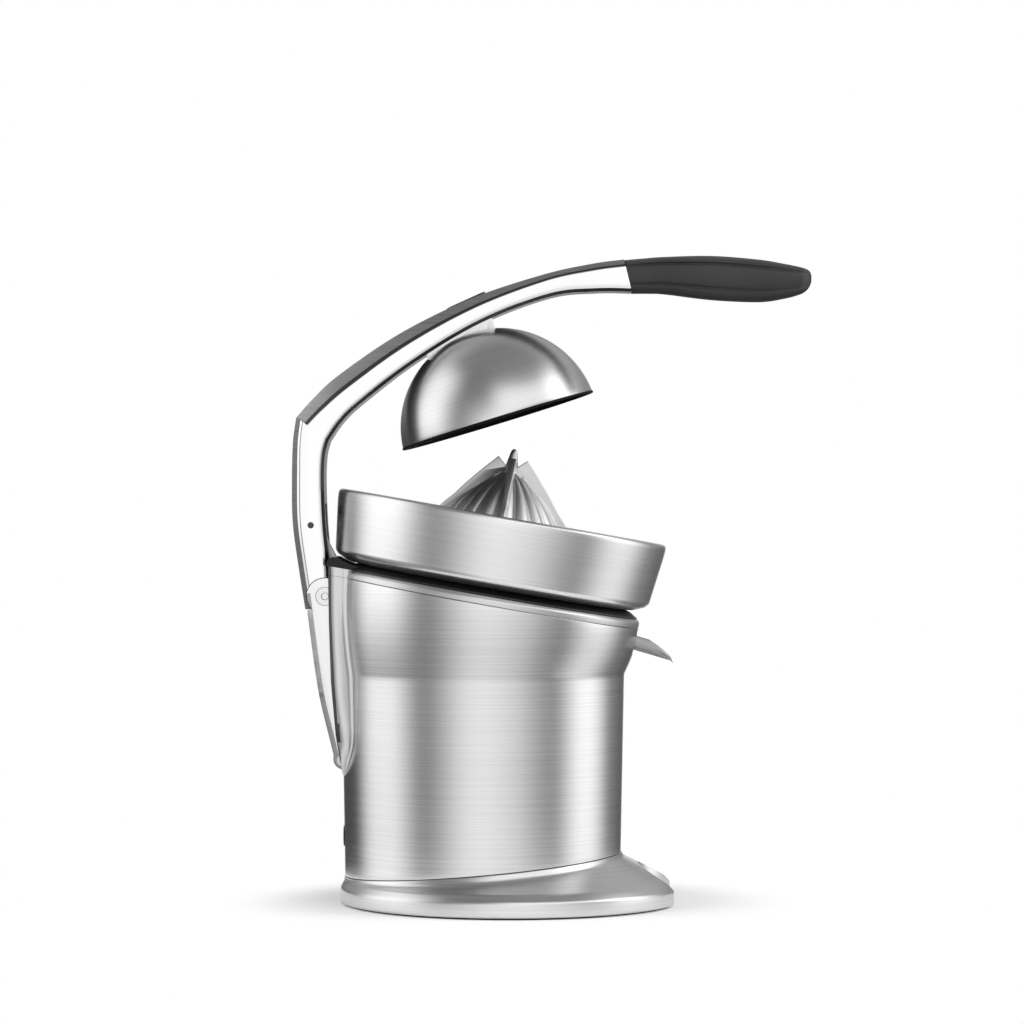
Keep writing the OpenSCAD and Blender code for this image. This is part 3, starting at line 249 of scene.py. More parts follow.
plastics = {
    # name, colour, scale of the pebbles, bump, roughness, gloss
    "black": ("blackPlastic", (0.018, 0.018, 0.019), 2500, 0.12, 0.42),
    "grip": ("softGrip", (0.028, 0.028, 0.029), 2200, 0.1, 0.5, 0.45),
    "deck": ("deckBlack", (0.008, 0.008, 0.008), 2500, 0.08, 0.4, 0.3),
    "edge": ("edgeBlack", (0.005, 0.005, 0.005), 1800, 0.1, 0.6, 0.15),
    "rubber": ("blackRubber", (0.02, 0.02, 0.02), 1800, 0.2, 0.62),
    "nylon": ("nylon", (0.78, 0.74, 0.62), 1200, 0.05, 0.45),
    "red": ("redPlastic", (0.55, 0.03, 0.02), 1500, 0.05, 0.3),
}
finishes.update({key: plainMetal(*row) for key, row in metals.items()})
finishes.update({key: moulded(*row) for key, row in plastics.items()})
print("finishes made:", len(finishes))


# Rounds the corners of a path: each corner becomes a short curve of the given radius
def softPath(points, radii, steps=4, closed=False):
    soft = []
    last = len(points) - 1
    for k, (corner, radius) in enumerate(zip(points, radii)):
        if radius <= 0 or (not closed and k in (0, last)):
            soft.append(corner)
            continue
        before, after = points[k - 1], points[(k + 1) % len(points)]
        ends = []
        for end in (before, after):
            run = end - corner
            reach = min(radius, run.length * 0.45)
            ends.append(corner + run.normalized() * reach)
        for step in range(steps + 1):
            t = step / steps
            soft.append(ends[0] * (1 - t) ** 2 + corner * 2 * t * (1 - t) + ends[1] * t * t)
    return soft


# Smooth curve through rows of numbers
def curveRows(rows, steps):
    rows = [Vector(row) for row in rows]
    out = []
    for i in range(len(rows) - 1):
        a, b, c, d = rows[max(i - 1, 0)], rows[i], rows[i + 1], rows[min(i + 2, len(rows) - 1)]
        for step in range(steps):
            t = step / steps
            out.append((2 * b + t * (c - a) + t * t * (2 * a - 5 * b + 4 * c - d)
                        + t ** 3 * (3 * b - a - 3 * c + d)) / 2)
    return out + [rows[-1]]


# Points and faces through rings; joinEnds closes the profile on itself
def loft(rows, joinEnds=False):
    count = len(rows[0])
    points = [p for row in rows for p in row]
    faces = []
    for k in range(len(rows) if joinEnds else len(rows) - 1):
        low, high = k * count, (k + 1) % len(rows) * count
        faces += [(low + i, low + (i + 1) % count, high + (i + 1) % count, high + i)
                  for i in range(count)]
    if not joinEnds:
        faces += [tuple(range(count)), tuple(range(len(points) - count, len(points)))]
    return points, faces


# A profile carried round an axis; profileAt gives its points at an angle
def spin(profileAt, radii, sides=256, steps=4, joinEnds=True):
    paths = [softPath(profileAt(2 * math.pi * i / sides), radii, steps, joinEnds)
             for i in range(sides)]
    return loft([list(row) for row in zip(*paths)], joinEnds)


# The same for a round profile given as (radius, height, corner radius), all in mm
def lathe(profile, matrix, sides=256, steps=4, joinEnds=True):
    def profileAt(angle):
        c, s = math.cos(angle), math.sin(angle)
        return [matrix @ Vector((r * c, r * s, h)) for r, h, _ in profile]
    return spin(profileAt, [corner for _, _, corner in profile], sides, steps, joinEnds)


# An outline drawn in the x-z plane, given width across the press
def across(outline, low, high):
    return loft([[Vector((x, y, z)) for x, z in outline] for y in (low, high)])


# An outline drawn in the x-y plane, given height
def upright(outline, low, high, matrix=Matrix()):
    return loft([[matrix @ Vector((x, y, z)) for x, y in outline] for z in (low, high)])


def boxShape(low, high, matrix=Matrix()):
    outline = [(low[0], low[2]), (high[0], low[2]), (high[0], high[2]), (low[0], high[2])]
    points, faces = across(outline, low[1], high[1])
    return [matrix @ p for p in points], faces


# A round bar that stands along the local Z axis, and one that lies across the press
def rodShape(radius, low, high, matrix, sides, rounding=0):
    profile = [(0, low, 0), (radius, low, rounding), (radius, high, 0), (0, high, 0)]
    return lathe(profile, matrix, sides)


def pinShape(at, radius, low, high, sides=64):
    ring = [(at[0] + radius * math.cos(2 * math.pi * i / sides),
             at[1] + radius * math.sin(2 * math.pi * i / sides)) for i in range(sides)]
    return across(ring, low, high)


def addObject(name, data):
    made = bpy.data.objects.new(name, data)
    bpy.context.scene.collection.objects.link(made)
    return made


# Turns shapes in mm into one object with closed seams and faces that point outwards.
# A shape is its points and faces, and may give each face's place in the list of finishes.
def makePiece(name, shapes, *finishList, sharp=35):
    mesh = bpy.data.meshes.new(name)
    points, faces, places = [], [], []
    for shape in shapes:
        start = len(points)
        points += [p * mm for p in shape[0]]
        faces += [tuple(start + i for i in face) for face in shape[1]]
        places += shape[2] if len(shape) > 2 else [0] * len(shape[1])
    mesh.from_pydata(points, [], faces)
    for finish in finishList:
        mesh.materials.append(finish)
    mesh.polygons.foreach_set("material_index", places)
    tidyMesh(mesh, sharp)
    return addObject(name, mesh)


def tidyMesh(mesh, sharp, flat=0.0):
    draft = bmesh.new()
    draft.from_mesh(mesh)
    bmesh.ops.remove_doubles(draft, verts=draft.verts, dist=2e-6)
    bmesh.ops.dissolve_degenerate(draft, dist=1e-6, edges=draft.edges)
    if flat:
        bmesh.ops.dissolve_limit(draft, angle_limit=math.radians(flat), verts=draft.verts,
                                 edges=draft.edges)
    bmesh.ops.recalc_face_normals(draft, faces=draft.faces)
    draft.to_mesh(mesh)
    draft.free()
    mesh.polygons.foreach_set("use_smooth", [True] * len(mesh.polygons))
    mesh.set_sharp_from_angle(angle=math.radians(sharp))


# Replaces a piece's mesh by what its modifiers make of it
def settle(piece):
    bpy.context.view_layer.update()
    shaped = piece.evaluated_get(bpy.context.evaluated_depsgraph_get())
    mesh = bpy.data.meshes.new_from_object(shaped)
    piece.modifiers.clear()
    old, piece.data = piece.data, mesh
    bpy.data.meshes.remove(old)
    mesh.name = piece.name
    return piece


# Cuts or adds; a cutter is a piece, or the shape to make it from. A new face keeps the
# cutter's finish if the piece has it too, and otherwise gets the piece's first one.
def combine(piece, cutters, operation="DIFFERENCE", finish="body", crossing=False):
    cutters = [cutter if isinstance(cutter, bpy.types.Object)
               else makePiece("cutter", [cutter], finishes[finish]) for cutter in cutters]
    for cutter in cutters:
        change = piece.modifiers.new("combine", "BOOLEAN")
        change.operation = operation
        change.solver = "EXACT"
        change.use_self = crossing
        change.object = cutter
    settle(piece)
    for cutter in cutters:
        bpy.data.objects.remove(cutter)
    return piece


# Rounds the edges that are sharper than an angle
def softenEdges(piece, width, segments=2, angle=35):
    change = piece.modifiers.new("soften", "BEVEL")
    change.width = width * mm
    change.segments = segments
    change.limit_method = "ANGLE"
    change.angle_limit = math.radians(angle)
    change.harden_normals = True
    change.use_clamp_overlap = True
    return settle(piece)


def dress(piece, body, slot, *replaced):
    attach(piece, body)
    if replaced:
        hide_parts(*replaced)
    return piece


def bodyOf(node):
    groups = frame["record"]["behaviour"]["bodies"]
    return next(body for body, members in groups.items() if node in members)


def slotOf(node):
    return next(s["material_slot"] for s in frame["record"]["subparts"] if s["node"] == node)


# A copy of a construction solid, with flat faces merged
def solidCopy(node, name, *finishList):
    mesh = frame["nodes"][node].data.copy()
    mesh.materials.clear()
    for finish in finishList:
        mesh.materials.append(finish)
    tidyMesh(mesh, 35, 0.6)
    return addObject(name, mesh)


def softCopy(node, name, finish, width, segments):
    piece = softenEdges(solidCopy(node, name, finish), width, segments)
    return dress(piece, bodyOf(node), slotOf(node), node)


# Geometry Nodes: copies of one mesh, evenly round the Z axis
def ringOfCopies(piece, copies, finish, firstAngle=0.0):
    tree = bpy.data.node_groups.new(piece.name + "Ring", "GeometryNodeTree")
    face = tree.interface
    kinds = {"Unit": "Geometry", "Copies": "Int", "First angle": "Float", "Finish": "Material"}
    sockets = {label: face.new_socket(label, in_out="INPUT", socket_type="NodeSocket" + kind)
               for label, kind in kinds.items()}
    face.new_socket("Ring", in_out="OUTPUT", socket_type="NodeSocketGeometry")
    start = Wire(tree)
    given = start.node("NodeGroupInput")
    points = start.node("GeometryNodeMeshLine", None,
                        {"Count": given.other("Copies"), "Offset": (0, 0, 0)})
    index = start.node("GeometryNodeInputIndex")
    share = start.math("DIVIDE", index * (2 * math.pi), given.other("Copies"))
    turn = start.node("ShaderNodeCombineXYZ", None, {"Z": share + given.other("First angle")})
    placed = start.node("GeometryNodeInstanceOnPoints", None,
                        {"Points": points, "Instance": given.other("Unit"), "Rotation": turn})
    whole = start.node("GeometryNodeRealizeInstances", None, {"Geometry": placed})
    painted = start.node("GeometryNodeSetMaterial", None,
                         {"Geometry": whole, "Material": given.other("Finish")})
    start.node("NodeGroupOutput", None, {"Ring": painted}, output=None)
    change = piece.modifiers.new("ring", "NODES")
    change.node_group = tree
    for label, value in (("Copies", copies), ("First angle", firstAngle), ("Finish", finish)):
        change[sockets[label].identifier] = value
    return settle(piece)


def placeMesh(piece, matrix):
    scale = Matrix.Scale(mm, 4)
    piece.data.transform(scale @ matrix @ scale.inverted())
    return piece


# Camera: level, from the press's right side
camera = addObject("camera", bpy.data.cameras.new("camera"))
camera.location = (0.0165, -2.1, 0.2223)
camera.rotation_euler = (math.radians(90), 0, 0)
camera.data.lens = 129.5
camera.data.sensor_width = 36
bpy.context.scene.camera = camera


# Body shell: tapered drum, soft neck, and a flare that ends square to the work axis
body = {
    "footRadius": 78.5, "radius": 80.4, "flareRadius": 87.0, "flarePower": 1.6, "flareSteps": 14,
    "footZ": 22.6, "footRise": 0.088, "neckZ": 130.0, "neckRounding": 9,
    "seamV": 169.2, "seamGap": 0.18, "wall": 1.2,
    "leadHole": (-84, 0, 38), "leadRadius": 6.2,
}
column = {"width": 70.0, "footZ": 71.0, "round": 28.0, "gap": 0.06}
spoutPort = {"u": (49, 73), "halfWidth": 12, "v": (154.4, 167.7)}


def flareRadius(t):
    more = body["flareRadius"] - body["radius"]
    return body["radius"] + more * (1 - (1 - t) ** body["flarePower"])


def flarePoint(angle, t, inset=0.0, drop=0.0):
    lean = math.radians(work["lean"])
    seam = body["seamV"] - drop
    topX = seam * math.sin(lean) - work["axisBack"] * math.cos(lean)
    topZ = seam * math.cos(lean) + work["axisBack"] * math.sin(lean)
    radius = flareRadius(t) - inset
    c, s = math.cos(angle), math.sin(angle)
    return Vector((topX * t + radius * c * math.cos(lean * t), radius * s,
                   body["neckZ"] + (topZ - body["neckZ"]) * t - radius * c * math.sin(lean * t)))


def bodyProfile(angle):
    c, s = math.cos(angle), math.sin(angle)
    low, inner = body["footRadius"], body["footRadius"] - body["wall"]
    footZ = body["footZ"] + body["footRise"] * low * c
    foot, neck = Vector((low * c, low * s, footZ)), flarePoint(angle, 0)
    drum = [foot.lerp(neck, share) for share in (0, 0.03, 0.25, 0.5, 0.75, 0.95)]
    steps = [k / body["flareSteps"] for k in range(1, body["flareSteps"] + 1)]
    flare = [flarePoint(angle, t, 0, body["seamGap"]) for t in steps]
    top = flarePoint(angle, 1, body["wall"], body["seamGap"])
    return drum + [neck] + flare + [top, flarePoint(angle, 0, body["wall"]),
                                    Vector((inner * c, inner * s, footZ))]


def columnOutline():
    half = column["width"] / 2 + column["gap"]
    steps = 32
    arc = [(half * math.cos(math.pi * k / steps),
            column["footZ"] + column["round"] * (1 - math.sin(math.pi * k / steps)) - column["gap"])
           for k in range(steps + 1)]
    return arc + [(-half, 240), (half, 240)]


def portShape():
    (u0, u1), (v0, v1), half = spoutPort["u"], spoutPort["v"], spoutPort["halfWidth"]
    return boxShape((u0, -half, v0), (u1, half, v1), leanFrame)


def makeBodyShell():
    radii = ([0.3] + [0] * 5 + [body["neckRounding"]] + [0] * (body["flareSteps"] - 1)
             + [0.4, 0.4, 0, 0.3])
    shell = makePiece("bodyShell", [spin(bodyProfile, radii, steps=6)], finishes["body"], sharp=30)
    slot = loft([[Vector((x, y, z)) for y, z in columnOutline()] for x in (-66, -120)])
    hole = Matrix.Translation(body["leadHole"]) @ turned("Y", 90)
    combine(shell, [slot, portShape(), rodShape(body["leadRadius"], 0, 20, hole, 48)])
    tidyMesh(shell.data, 30)
    return dress(shell, "root", "brushed_steel", "body_shell")


makeBodyShell()
print("body shell made")


# Base casting: upright band, chamfer, skirt that rises to the front, and a glass notch
base = {
    "radius": 96.5, "shift": 15.5, "soleGap": 1.0, "bandTop": 9.3, "wall": 3.2,
    "notchRadius": 31.0, "notchX": 119.0, "seamGap": 0.3,
}


def baseProfile(angle):
    c, s = math.cos(angle), math.sin(angle)

    def at(shift, radius, z):
        return Vector((shift + radius * c, radius * s, z))

    shift, low, r, drum = base["shift"], base["soleGap"], base["radius"], body["footRadius"]
    rise = body["footRise"] * drum * c
    foot = body["footZ"] - base["seamGap"] + rise
    return [
        at(shift, r - 0.8, low), at(shift, r, low + 0.8), at(shift, r, base["bandTop"]),
        at(shift - 1, r - 3.2, base["bandTop"] + 4),  # chamfer
        # the skirt climbs towards the front, where c is 1
        at(0.8, drum + 4.5 - 3.2 * c * c, 16.6 + 6.25 * c + 3.65 * c * c),
        at(0.4, drum + 1.8 - 1.2 * c * c, 18.4 + 6.4 * c + 2.8 * c * c),
        at(0, drum + 0.5, foot), at(0, drum - 0.3, foot),  # the seam under the body shell
        at(0, drum - base["wall"], body["footZ"] - 1 + rise),
    ]


def baseHollow(angle):
    c, s = math.cos(angle), math.sin(angle)
    rows = [(base["shift"], 93.3, -1), (base["shift"], 93.3, 7.9), (14.5, 89.3, 10.5),
            (0.8, 79 - 3 * c * c, 13 + 5.6 * c + 3 * c * c), (0, 75.3, 17 + 6.4 * c + 1.2 * c * c),
            (0, 75.3, 36)]
    return [Vector((x + r * c, r * s, z)) for x, r, z in rows]


def makeBase():
    radii = [0, 0.5, 1.4, 2.2, 5, 3.5, 0.4, 0, 0]  # of the profile's corners
    casting = makePiece("baseCasting", [spin(baseProfile, radii, 288, 5, False)], finishes["base"])
    hollow = makePiece("hollowCutter", [spin(baseHollow, [0] * 6, 144, 1, False)], finishes["cast"])
    at = Matrix.Translation((base["notchX"], 0, -2))
    glass, behind = [rodShape(radius, 0, 60, at, 192)
                     for radius in (base["notchRadius"], base["notchRadius"] + base["wall"])]
    combine(hollow, [behind])
    combine(casting, [hollow, glass])
    tidyMesh(casting.data, 30)
    return dress(casting, "root", "satin_cast", "base_casting")


makeBase()
print("base made")


# Juice bowl: rolled rim, near-upright wall, tucked-in underside, chimney and outlet
bowl = {"floorV": 178.5, "rimV": 218.5, "radius": 94.5, "wall": 1.4, "chimney": 15.0,
        "chimneyHeight": 17.0, "outletU": 67.0, "outletRadius": 5.0}


def makeBowl():
    f, top, r, t = bowl["floorV"], bowl["rimV"], bowl["radius"], bowl["wall"]
    c = bowl["chimney"]
    # out under the floor, up the wall, over the rolled rim, back inside and up the chimney
    profile = [
        (c - t, f, 0.4), (r - 12.5, f, 2), (r - 5.6, f + 3.1, 0.9), (r - 3.9, f + 5.2, 1.1),
        (r, f + 34.5, 8), (r, top - 0.9, 2.4), (r - 2.2, top, 1.4), (r - 3.9, top - 0.3, 0.7),
        (r - 3.9, top - t - 0.4, 0.5), (r - t - 0.2, top - t - 1.6, 1.2), (r - t, f + 34.5, 6),
        (r - 3.9 - t, f + 5.6, 1), (r - 6.4, f + t + 2.6, 1), (r - 13, f + t, 2.5),
        (c, f + t, 1.2), (c, f + bowl["chimneyHeight"], 0.5),
        (c - t, f + bowl["chimneyHeight"], 0.5),
    ]
    piece = makePiece("juiceBowl", [lathe(profile, axisFrame, 288)], finishes["bowl"], sharp=40)
    outer, inner = bowl["outletRadius"] + t, bowl["outletRadius"]
    at = axisFrame @ Matrix.Translation((bowl["outletU"], 0, f))
    combine(piece, [rodShape(outer, -9, 0.5, at, 64, 0.5)], "UNION")
    combine(piece, [rodShape(inner, -12, 8, at, 64)])
    tidyMesh(piece.data, 40)
    return dress(piece, "bowl", "bowl_steel", "juice_bowl")


makeBowl()
print("bowl made")


# Strainer: slotted plate with a raised rim and a collar that stands on the bowl's floor
strainer = {"innerRadius": 46.6, "plateV": 198.0, "wall": 1.0, "slots": 36, "slotWidth": 2.0,
            "drains": 8}


def makeStrainer():
    r0, v, w = strainer["innerRadius"], strainer["plateV"], strainer["wall"]
    foot = bowl["floorV"] + bowl["wall"] + 0.3
    rim = bowl["radius"] - bowl["wall"] - 2.4
    # the collar's outside, under the plate, over the rim, and back along the top
    profile = [
        (r0, foot, 0.3), (r0 + w, foot, 0.3), (r0 + w, v, 1), (rim - 5, v, 3), (rim, v + 12, 0.4),
        (rim - w, v + 12, 0.4), (rim - 5 - w, v + w, 2.4), (r0 + w, v + w, 0.6),
        (r0 + w, v + 7, 0.4), (r0, v + 7, 0.4),
    ]
    piece = makePiece("strainer", [lathe(profile, axisFrame, 288, 3)], finishes["bowl"], sharp=40)
    low, high, half = r0 + 6, rim - 9, strainer["slotWidth"] / 2
    slot = [(low, -half), (high - half, -half), (high, 0), (high - half, half), (low, half),
            (low - half, 0)]
    drain = [(r0 - 3, -5), (r0 + 5, -5), (r0 + 5, 5), (r0 - 3, 5)]
    cutters = []
    for name, outline, bottom, top, turn in (("slot", slot, v - 1, v + 3, math.radians(5)),
                                             ("drain", drain, foot - 1, foot + 6, 0.0)):
        cutter = makePiece(name, [upright(outline, bottom, top)], finishes["bowl"])
        ringOfCopies(cutter, strainer[name + "s"], finishes["bowl"], turn)
        cutters.append(placeMesh(cutter, axisFrame))
    combine(piece, cutters)
    tidyMesh(piece.data, 40)
    return dress(piece, "strainer", "bowl_steel", "strainer")


makeStrainer()
print("strainer made")


# Reamer cone: rounded ribs that meet in valleys, four fins and a pointed tip
cone = {
    "footV": 204.0, "tipV": 257.4, "ribs": 16, "ribDepth": 0.09, "ribPower": 0.7,
    "rows": [(44.5, 204), (43.7, 207), (36.4, 208.5), (28.3, 221.3), (20.4, 231), (11.5, 239),
             (5, 243), (3, 246.5)],
    # a fin is thick at the axis and thin at its outer edge
    "finHalf": 2.5, "finTaper": 1.75, "finReach": 42,
    "finEdge": [(41.5, 209.5), (36.2, 219), (29.8, 226.4), (24, 234), (17, 242.4), (8.4, 252)],
}


def makeCone():
    foot, tip = cone["footV"], cone["tipV"]
    rows = []
    smoothRows = [Vector(r) for r in cone["rows"][:2]] + curveRows(cone["rows"][2:], 7)
    count = cone["ribs"] * 14
    for radius, v in smoothRows:
        depth = radius * cone["ribDepth"] * min(1, max(0, (v - foot - 3) / 5))
        ring = []
        for i in range(count):
            angle = 2 * math.pi * i / count
            wave = abs(math.cos(angle * cone["ribs"] / 2))
            r = radius - depth * (1 - wave ** cone["ribPower"])
            ring.append(axisFrame @ Vector((r * math.cos(angle), r * math.sin(angle), v)))
        rows.append(ring)
    piece = makePiece("reamerCone", [loft(rows)], finishes["cone"], sharp=50)
    outline = [(0, foot + 5)] + [tuple(p) for p in curveRows(cone["finEdge"], 5)]
    thick = [(x, z, cone["finHalf"] - cone["finTaper"] * min(1, x / cone["finReach"]))
             for x, z in outline + [(3.4, 247.4), (0, 247.4)]]
    fin = loft([[Vector((x, side * half, z)) for x, z, half in thick] for side in (-1, 1)])
    fins = softenEdges(makePiece("fins", [fin], finishes["cone"]), 0.5, 3, 50)
    placeMesh(ringOfCopies(fins, 4, finishes["cone"]), axisFrame)
    spike = [(0, 240, 0), (4.6, 242, 0), (3.5, 247.6, 1.5), (1.9, tip - 1.7, 1.2), (1, tip - 0.2, 0.6),
             (0, tip, 0)]
    combine(piece, [fins, lathe(spike, axisFrame, 64, 5, False)], "UNION", crossing=True)
    # room under the cone, round its hub, and the hub's bore, which is wider at its foot
    hollow = [(9, foot - 1, 0), (39.5, foot - 1, 0), (39.5, foot, 0), (29, foot + 8, 3),
              (22, foot + 18, 3), (9, foot + 20, 2)]
    bore = [(0, foot - 1, 0), (5.05, foot - 1, 0), (5.05, foot + 4, 0), (3.75, foot + 4.2, 0),
            (3.75, foot + 18.3, 0), (0, foot + 18.3, 0)]
    combine(piece, [lathe(hollow, axisFrame, 96, 3), lathe(bore, axisFrame, 48, 1)])
    tidyMesh(piece.data, 40)
    return dress(piece, "cone", "cone_steel", "reamer_cone")


makeCone()
print("cone made")


# Pressing dome: spun shell with a rolled rim, black inside, and a black edge
def makeDome():
    rim, deep, wall = dome["rimRadius"], dome["depth"], dome["wall"]
    ball = (rim * rim + deep * deep) / (2 * deep)
    centre = deep - ball

    def arc(radius, low, steps):
        first = math.asin((low - centre) / radius)
        turn = [first + (math.pi / 2 - first) * k / steps for k in range(steps + 1)]
        return [(radius * math.cos(a), centre + radius * math.sin(a), 0) for a in turn]

    low = dome["edgeHeight"]
    outer, inner = arc(ball, low, 48), arc(ball - wall, low, 48)
    shell = outer[:-1] + [(0, centre + ball, 0), (0, centre + ball - wall, 0)] + inner[:-1][::-1]
    shell[0] = (*shell[0][:2], 0.4)
    piece = makePiece("pressingDome", [lathe(shell, domeFrame, 256, 3)], finishes["dome"], sharp=40)
    piece.data.materials.append(finishes["edge"])
    middle = (domeFrame @ Vector((0, 0, centre))) * mm
    for face in piece.data.polygons:
        if (face.center - middle).dot(face.normal) < 0:
            face.material_index = 1
    dress(piece, "arm", "dome_steel", "pressing_dome")
    r = rim - 0.1
    ring = [(r - wall - 0.5, 0.3, 0.2), (r - wall, 0, 0.2), (r, 0, 0.2), (r + 0.4, 0.3, 0.2),
            (r + 0.4, low - 0.02, 0.15), (r - wall - 0.5, low - 0.02, 0.15)]
    edge = makePiece("domeEdge", [lathe(ring, domeFrame, 256, 2)], finishes["edge"], sharp=60)
    dress(edge, "arm", "rubber_black", "dome_edge")


makeDome()
print("dome made")


# Grip: soft black handle with a crease above and below its side face
grip = {
    "rows": [(80.4, 365.9, 84.8, 346.6, 13.3, 0.6), (92, 366.9, 94.4, 346.6, 14, 1),
             (103, 367.7, 104, 346.2, 14.9, 1), (130, 368.3, 130, 343, 16.5, 1),
             (157, 366.2, 157, 341.8, 16.3, 0.8), (172, 363.7, 171, 343.6, 14.5, 0.6),
             (180.7, 361.9, 179.5, 345.8, 11.9, 0.4), (184.6, 360.6, 183.4, 347.6, 8.5, 0.2),
             (186.3, 359.2, 185.8, 350.2, 5.2, 0), (187.1, 357, 187, 353, 2.4, 0)],
    # half of the section: share of half width, share of half height, crease depth
    "section": [(0, 1, 0), (0.5, 0.955, 0), (0.79, 0.83, 0), (0.91, 0.68, 0),
                (0.91, 0.57, 0.11), (0.955, 0.46, 0), (1, 0.03, 0), (0.955, -0.40, 0),
                (0.90, -0.52, 0.10), (0.89, -0.66, 0), (0.73, -0.84, 0),
                (0.42, -0.965, 0), (0, -1, 0)],
}


def makeGrip():
    rows = []
    for topX, topZ, lowX, lowZ, half, crease in curveRows(grip["rows"], 8):
        middle = Vector(((topX + lowX) / 2, 0, (topZ + lowZ) / 2))
        up = Vector(((topX - lowX) / 2, 0, (topZ - lowZ) / 2))
        ring = []
        for side in (1, -1):
            section = grip["section"] if side == 1 else grip["section"][-2:0:-1]
            for y, z, deep in section:
                ring.append(middle + up * z + Vector((0, side * half * (y - deep * crease), 0)))
        rows.append(softPath(ring, [1.2 if k % 12 in (4, 8) else 3.2 for k in range(len(ring))],
                             4, True))
    piece = makePiece("grip", [loft(rows)], finishes["grip"], sharp=50)
    return dress(piece, "arm", "grip_black", "grip")


makeGrip()
print("grip made")


# Lever arm: polished side faces, brushed outer bevels and softly rounded inner edges; the darker
# bevels, the band by the face and the inner edges carry painted reflection and painted shade
arm = {
    # outer edge x and z, inner edge x and z, half width, outer bevel, soft inner edge
    "lowRows": [
        (-99.8, 163, -85.8, 163, 18, 3, 2.4), (-104.2, 190.4, -86.7, 190.4, 18, 3, 2.4),
        (-107.6, 216, -89, 216, 18, 3, 2.2), (-108.1, 240, -89.9, 240, 18, 3, 2.2),
        (-107.5, 262, -89.3, 254.5, 18, 3, 2.2), (-105.6, 276, -87.3, 262.6, 18, 3, 2.2),
    ],
    "highRows": [
        (-105.6, 276, -87.3, 262.6, 18, 8, 2.2), (-97.4, 285.4, -80, 273.2, 17.9, 8.7, 2.2),
        (-82.2, 299.6, -68.8, 284, 17.6, 9.2, 2.3), (-47, 323.6, -38.5, 307.2, 16.6, 8.1, 2.4),
        (-6.2, 343.6, -1.1, 329.6, 15, 6, 2.6), (34.6, 357.1, 38.2, 344.5, 14, 4.1, 3.4),
        (62, 363.2, 64.4, 347.4, 13, 4.2, 4.2), (80, 365.6, 84.4, 347.3, 13, 4.2, 4.4),
    ],
    "steps": 8, "darkEdge": 1.8,
    "pivot": (-89.3, 174.6), "headRadius": 10.7, "endZ": 167.2,
    "pin": (-97.3, 214.8), "pinRadius": 1.82,
    "hollow": [(-104.2, 150), (-104.2, 222), (-99, 227), (-70, 227), (-70, 150)],
    "hollowHalf": 10.3, "lugRadius": 9.0, "lugs": (6.8, 10.6),
}
plug = {"place": (-9.6, 0, 342.2), "lean": -24.5, "half": 7.5, "radius": 4.6, "depth": 2.4,
        "rise": 1.1}


# One side of the arm's section: (place across the side face, depth, finish that follows);
# places under zero count from the inner edge
def armSection(bevel, soft, low):
    if low:
        # low bevel: dark brushed steel, painted reflection
        outer = [(0, bevel, 1), (bevel + 0.1, 0.9, 0), (bevel + 1.2, 0.14, 2), (bevel + 1.75, 0.07, 0)]
    else:
        # upper bevel: lighter brushed steel, then a narrow band of painted shade by the face
        outer = [(0, bevel * 0.75, 5), (bevel * 0.8 - 0.6, 1.5, 4), (bevel - 0.35, 0.3, 0),
                 (bevel + 0.1, 0.05, 0)]
    # the inner edge is really rounded, and its near-black finish is painted dark reflection
    deep = arm["darkEdge"]
    return outer + [
        (bevel + 2.3, 0, 0), (-deep - soft, 0, 0), (-deep - soft * 0.62, 0.06, 0),
        (-deep - soft * 0.32, 0.2, 0), (-deep, 0.55, 3), (0, deep + 0.5, 3),
    ]


def armRings(rows, low):
    rings, kinds = [], []
    for outX, outZ, inX, inZ, half, bevel, soft in curveRows(rows, arm["steps"]):
        outer, inner = Vector((outX, 0, outZ)), Vector((inX, 0, inZ))
        length, run = (inner - outer).length, (inner - outer).normalized()
        section = armSection(bevel, soft, low)
        spots = [(place if place > 0 or n == 0 else length + place, half - depth)
                 for n, (place, depth, _) in enumerate(section)]
        ring = [outer + run * place + Vector((0, y, 0)) for place, y in spots]
        rings.append(ring + [outer + run * place - Vector((0, y, 0)) for place, y in reversed(spots)])
        order = [kind for _, _, kind in section[:-1]]
        kinds += order + [3] + order[::-1] + [order[0]]
    return rings, kinds


def armShape():
    lowRings, lowKinds = armRings(arm["lowRows"], True)
    highRings, highKinds = armRings(arm["highRows"], False)
    apart = Vector((0.03, 0, 0.03))
    highRings[0] = [p + apart for p in highRings[0]]
    points, faces = loft(lowRings + highRings)
    return points, faces, (lowKinds + highKinds)[:len(faces) - 2] + [0, 0]


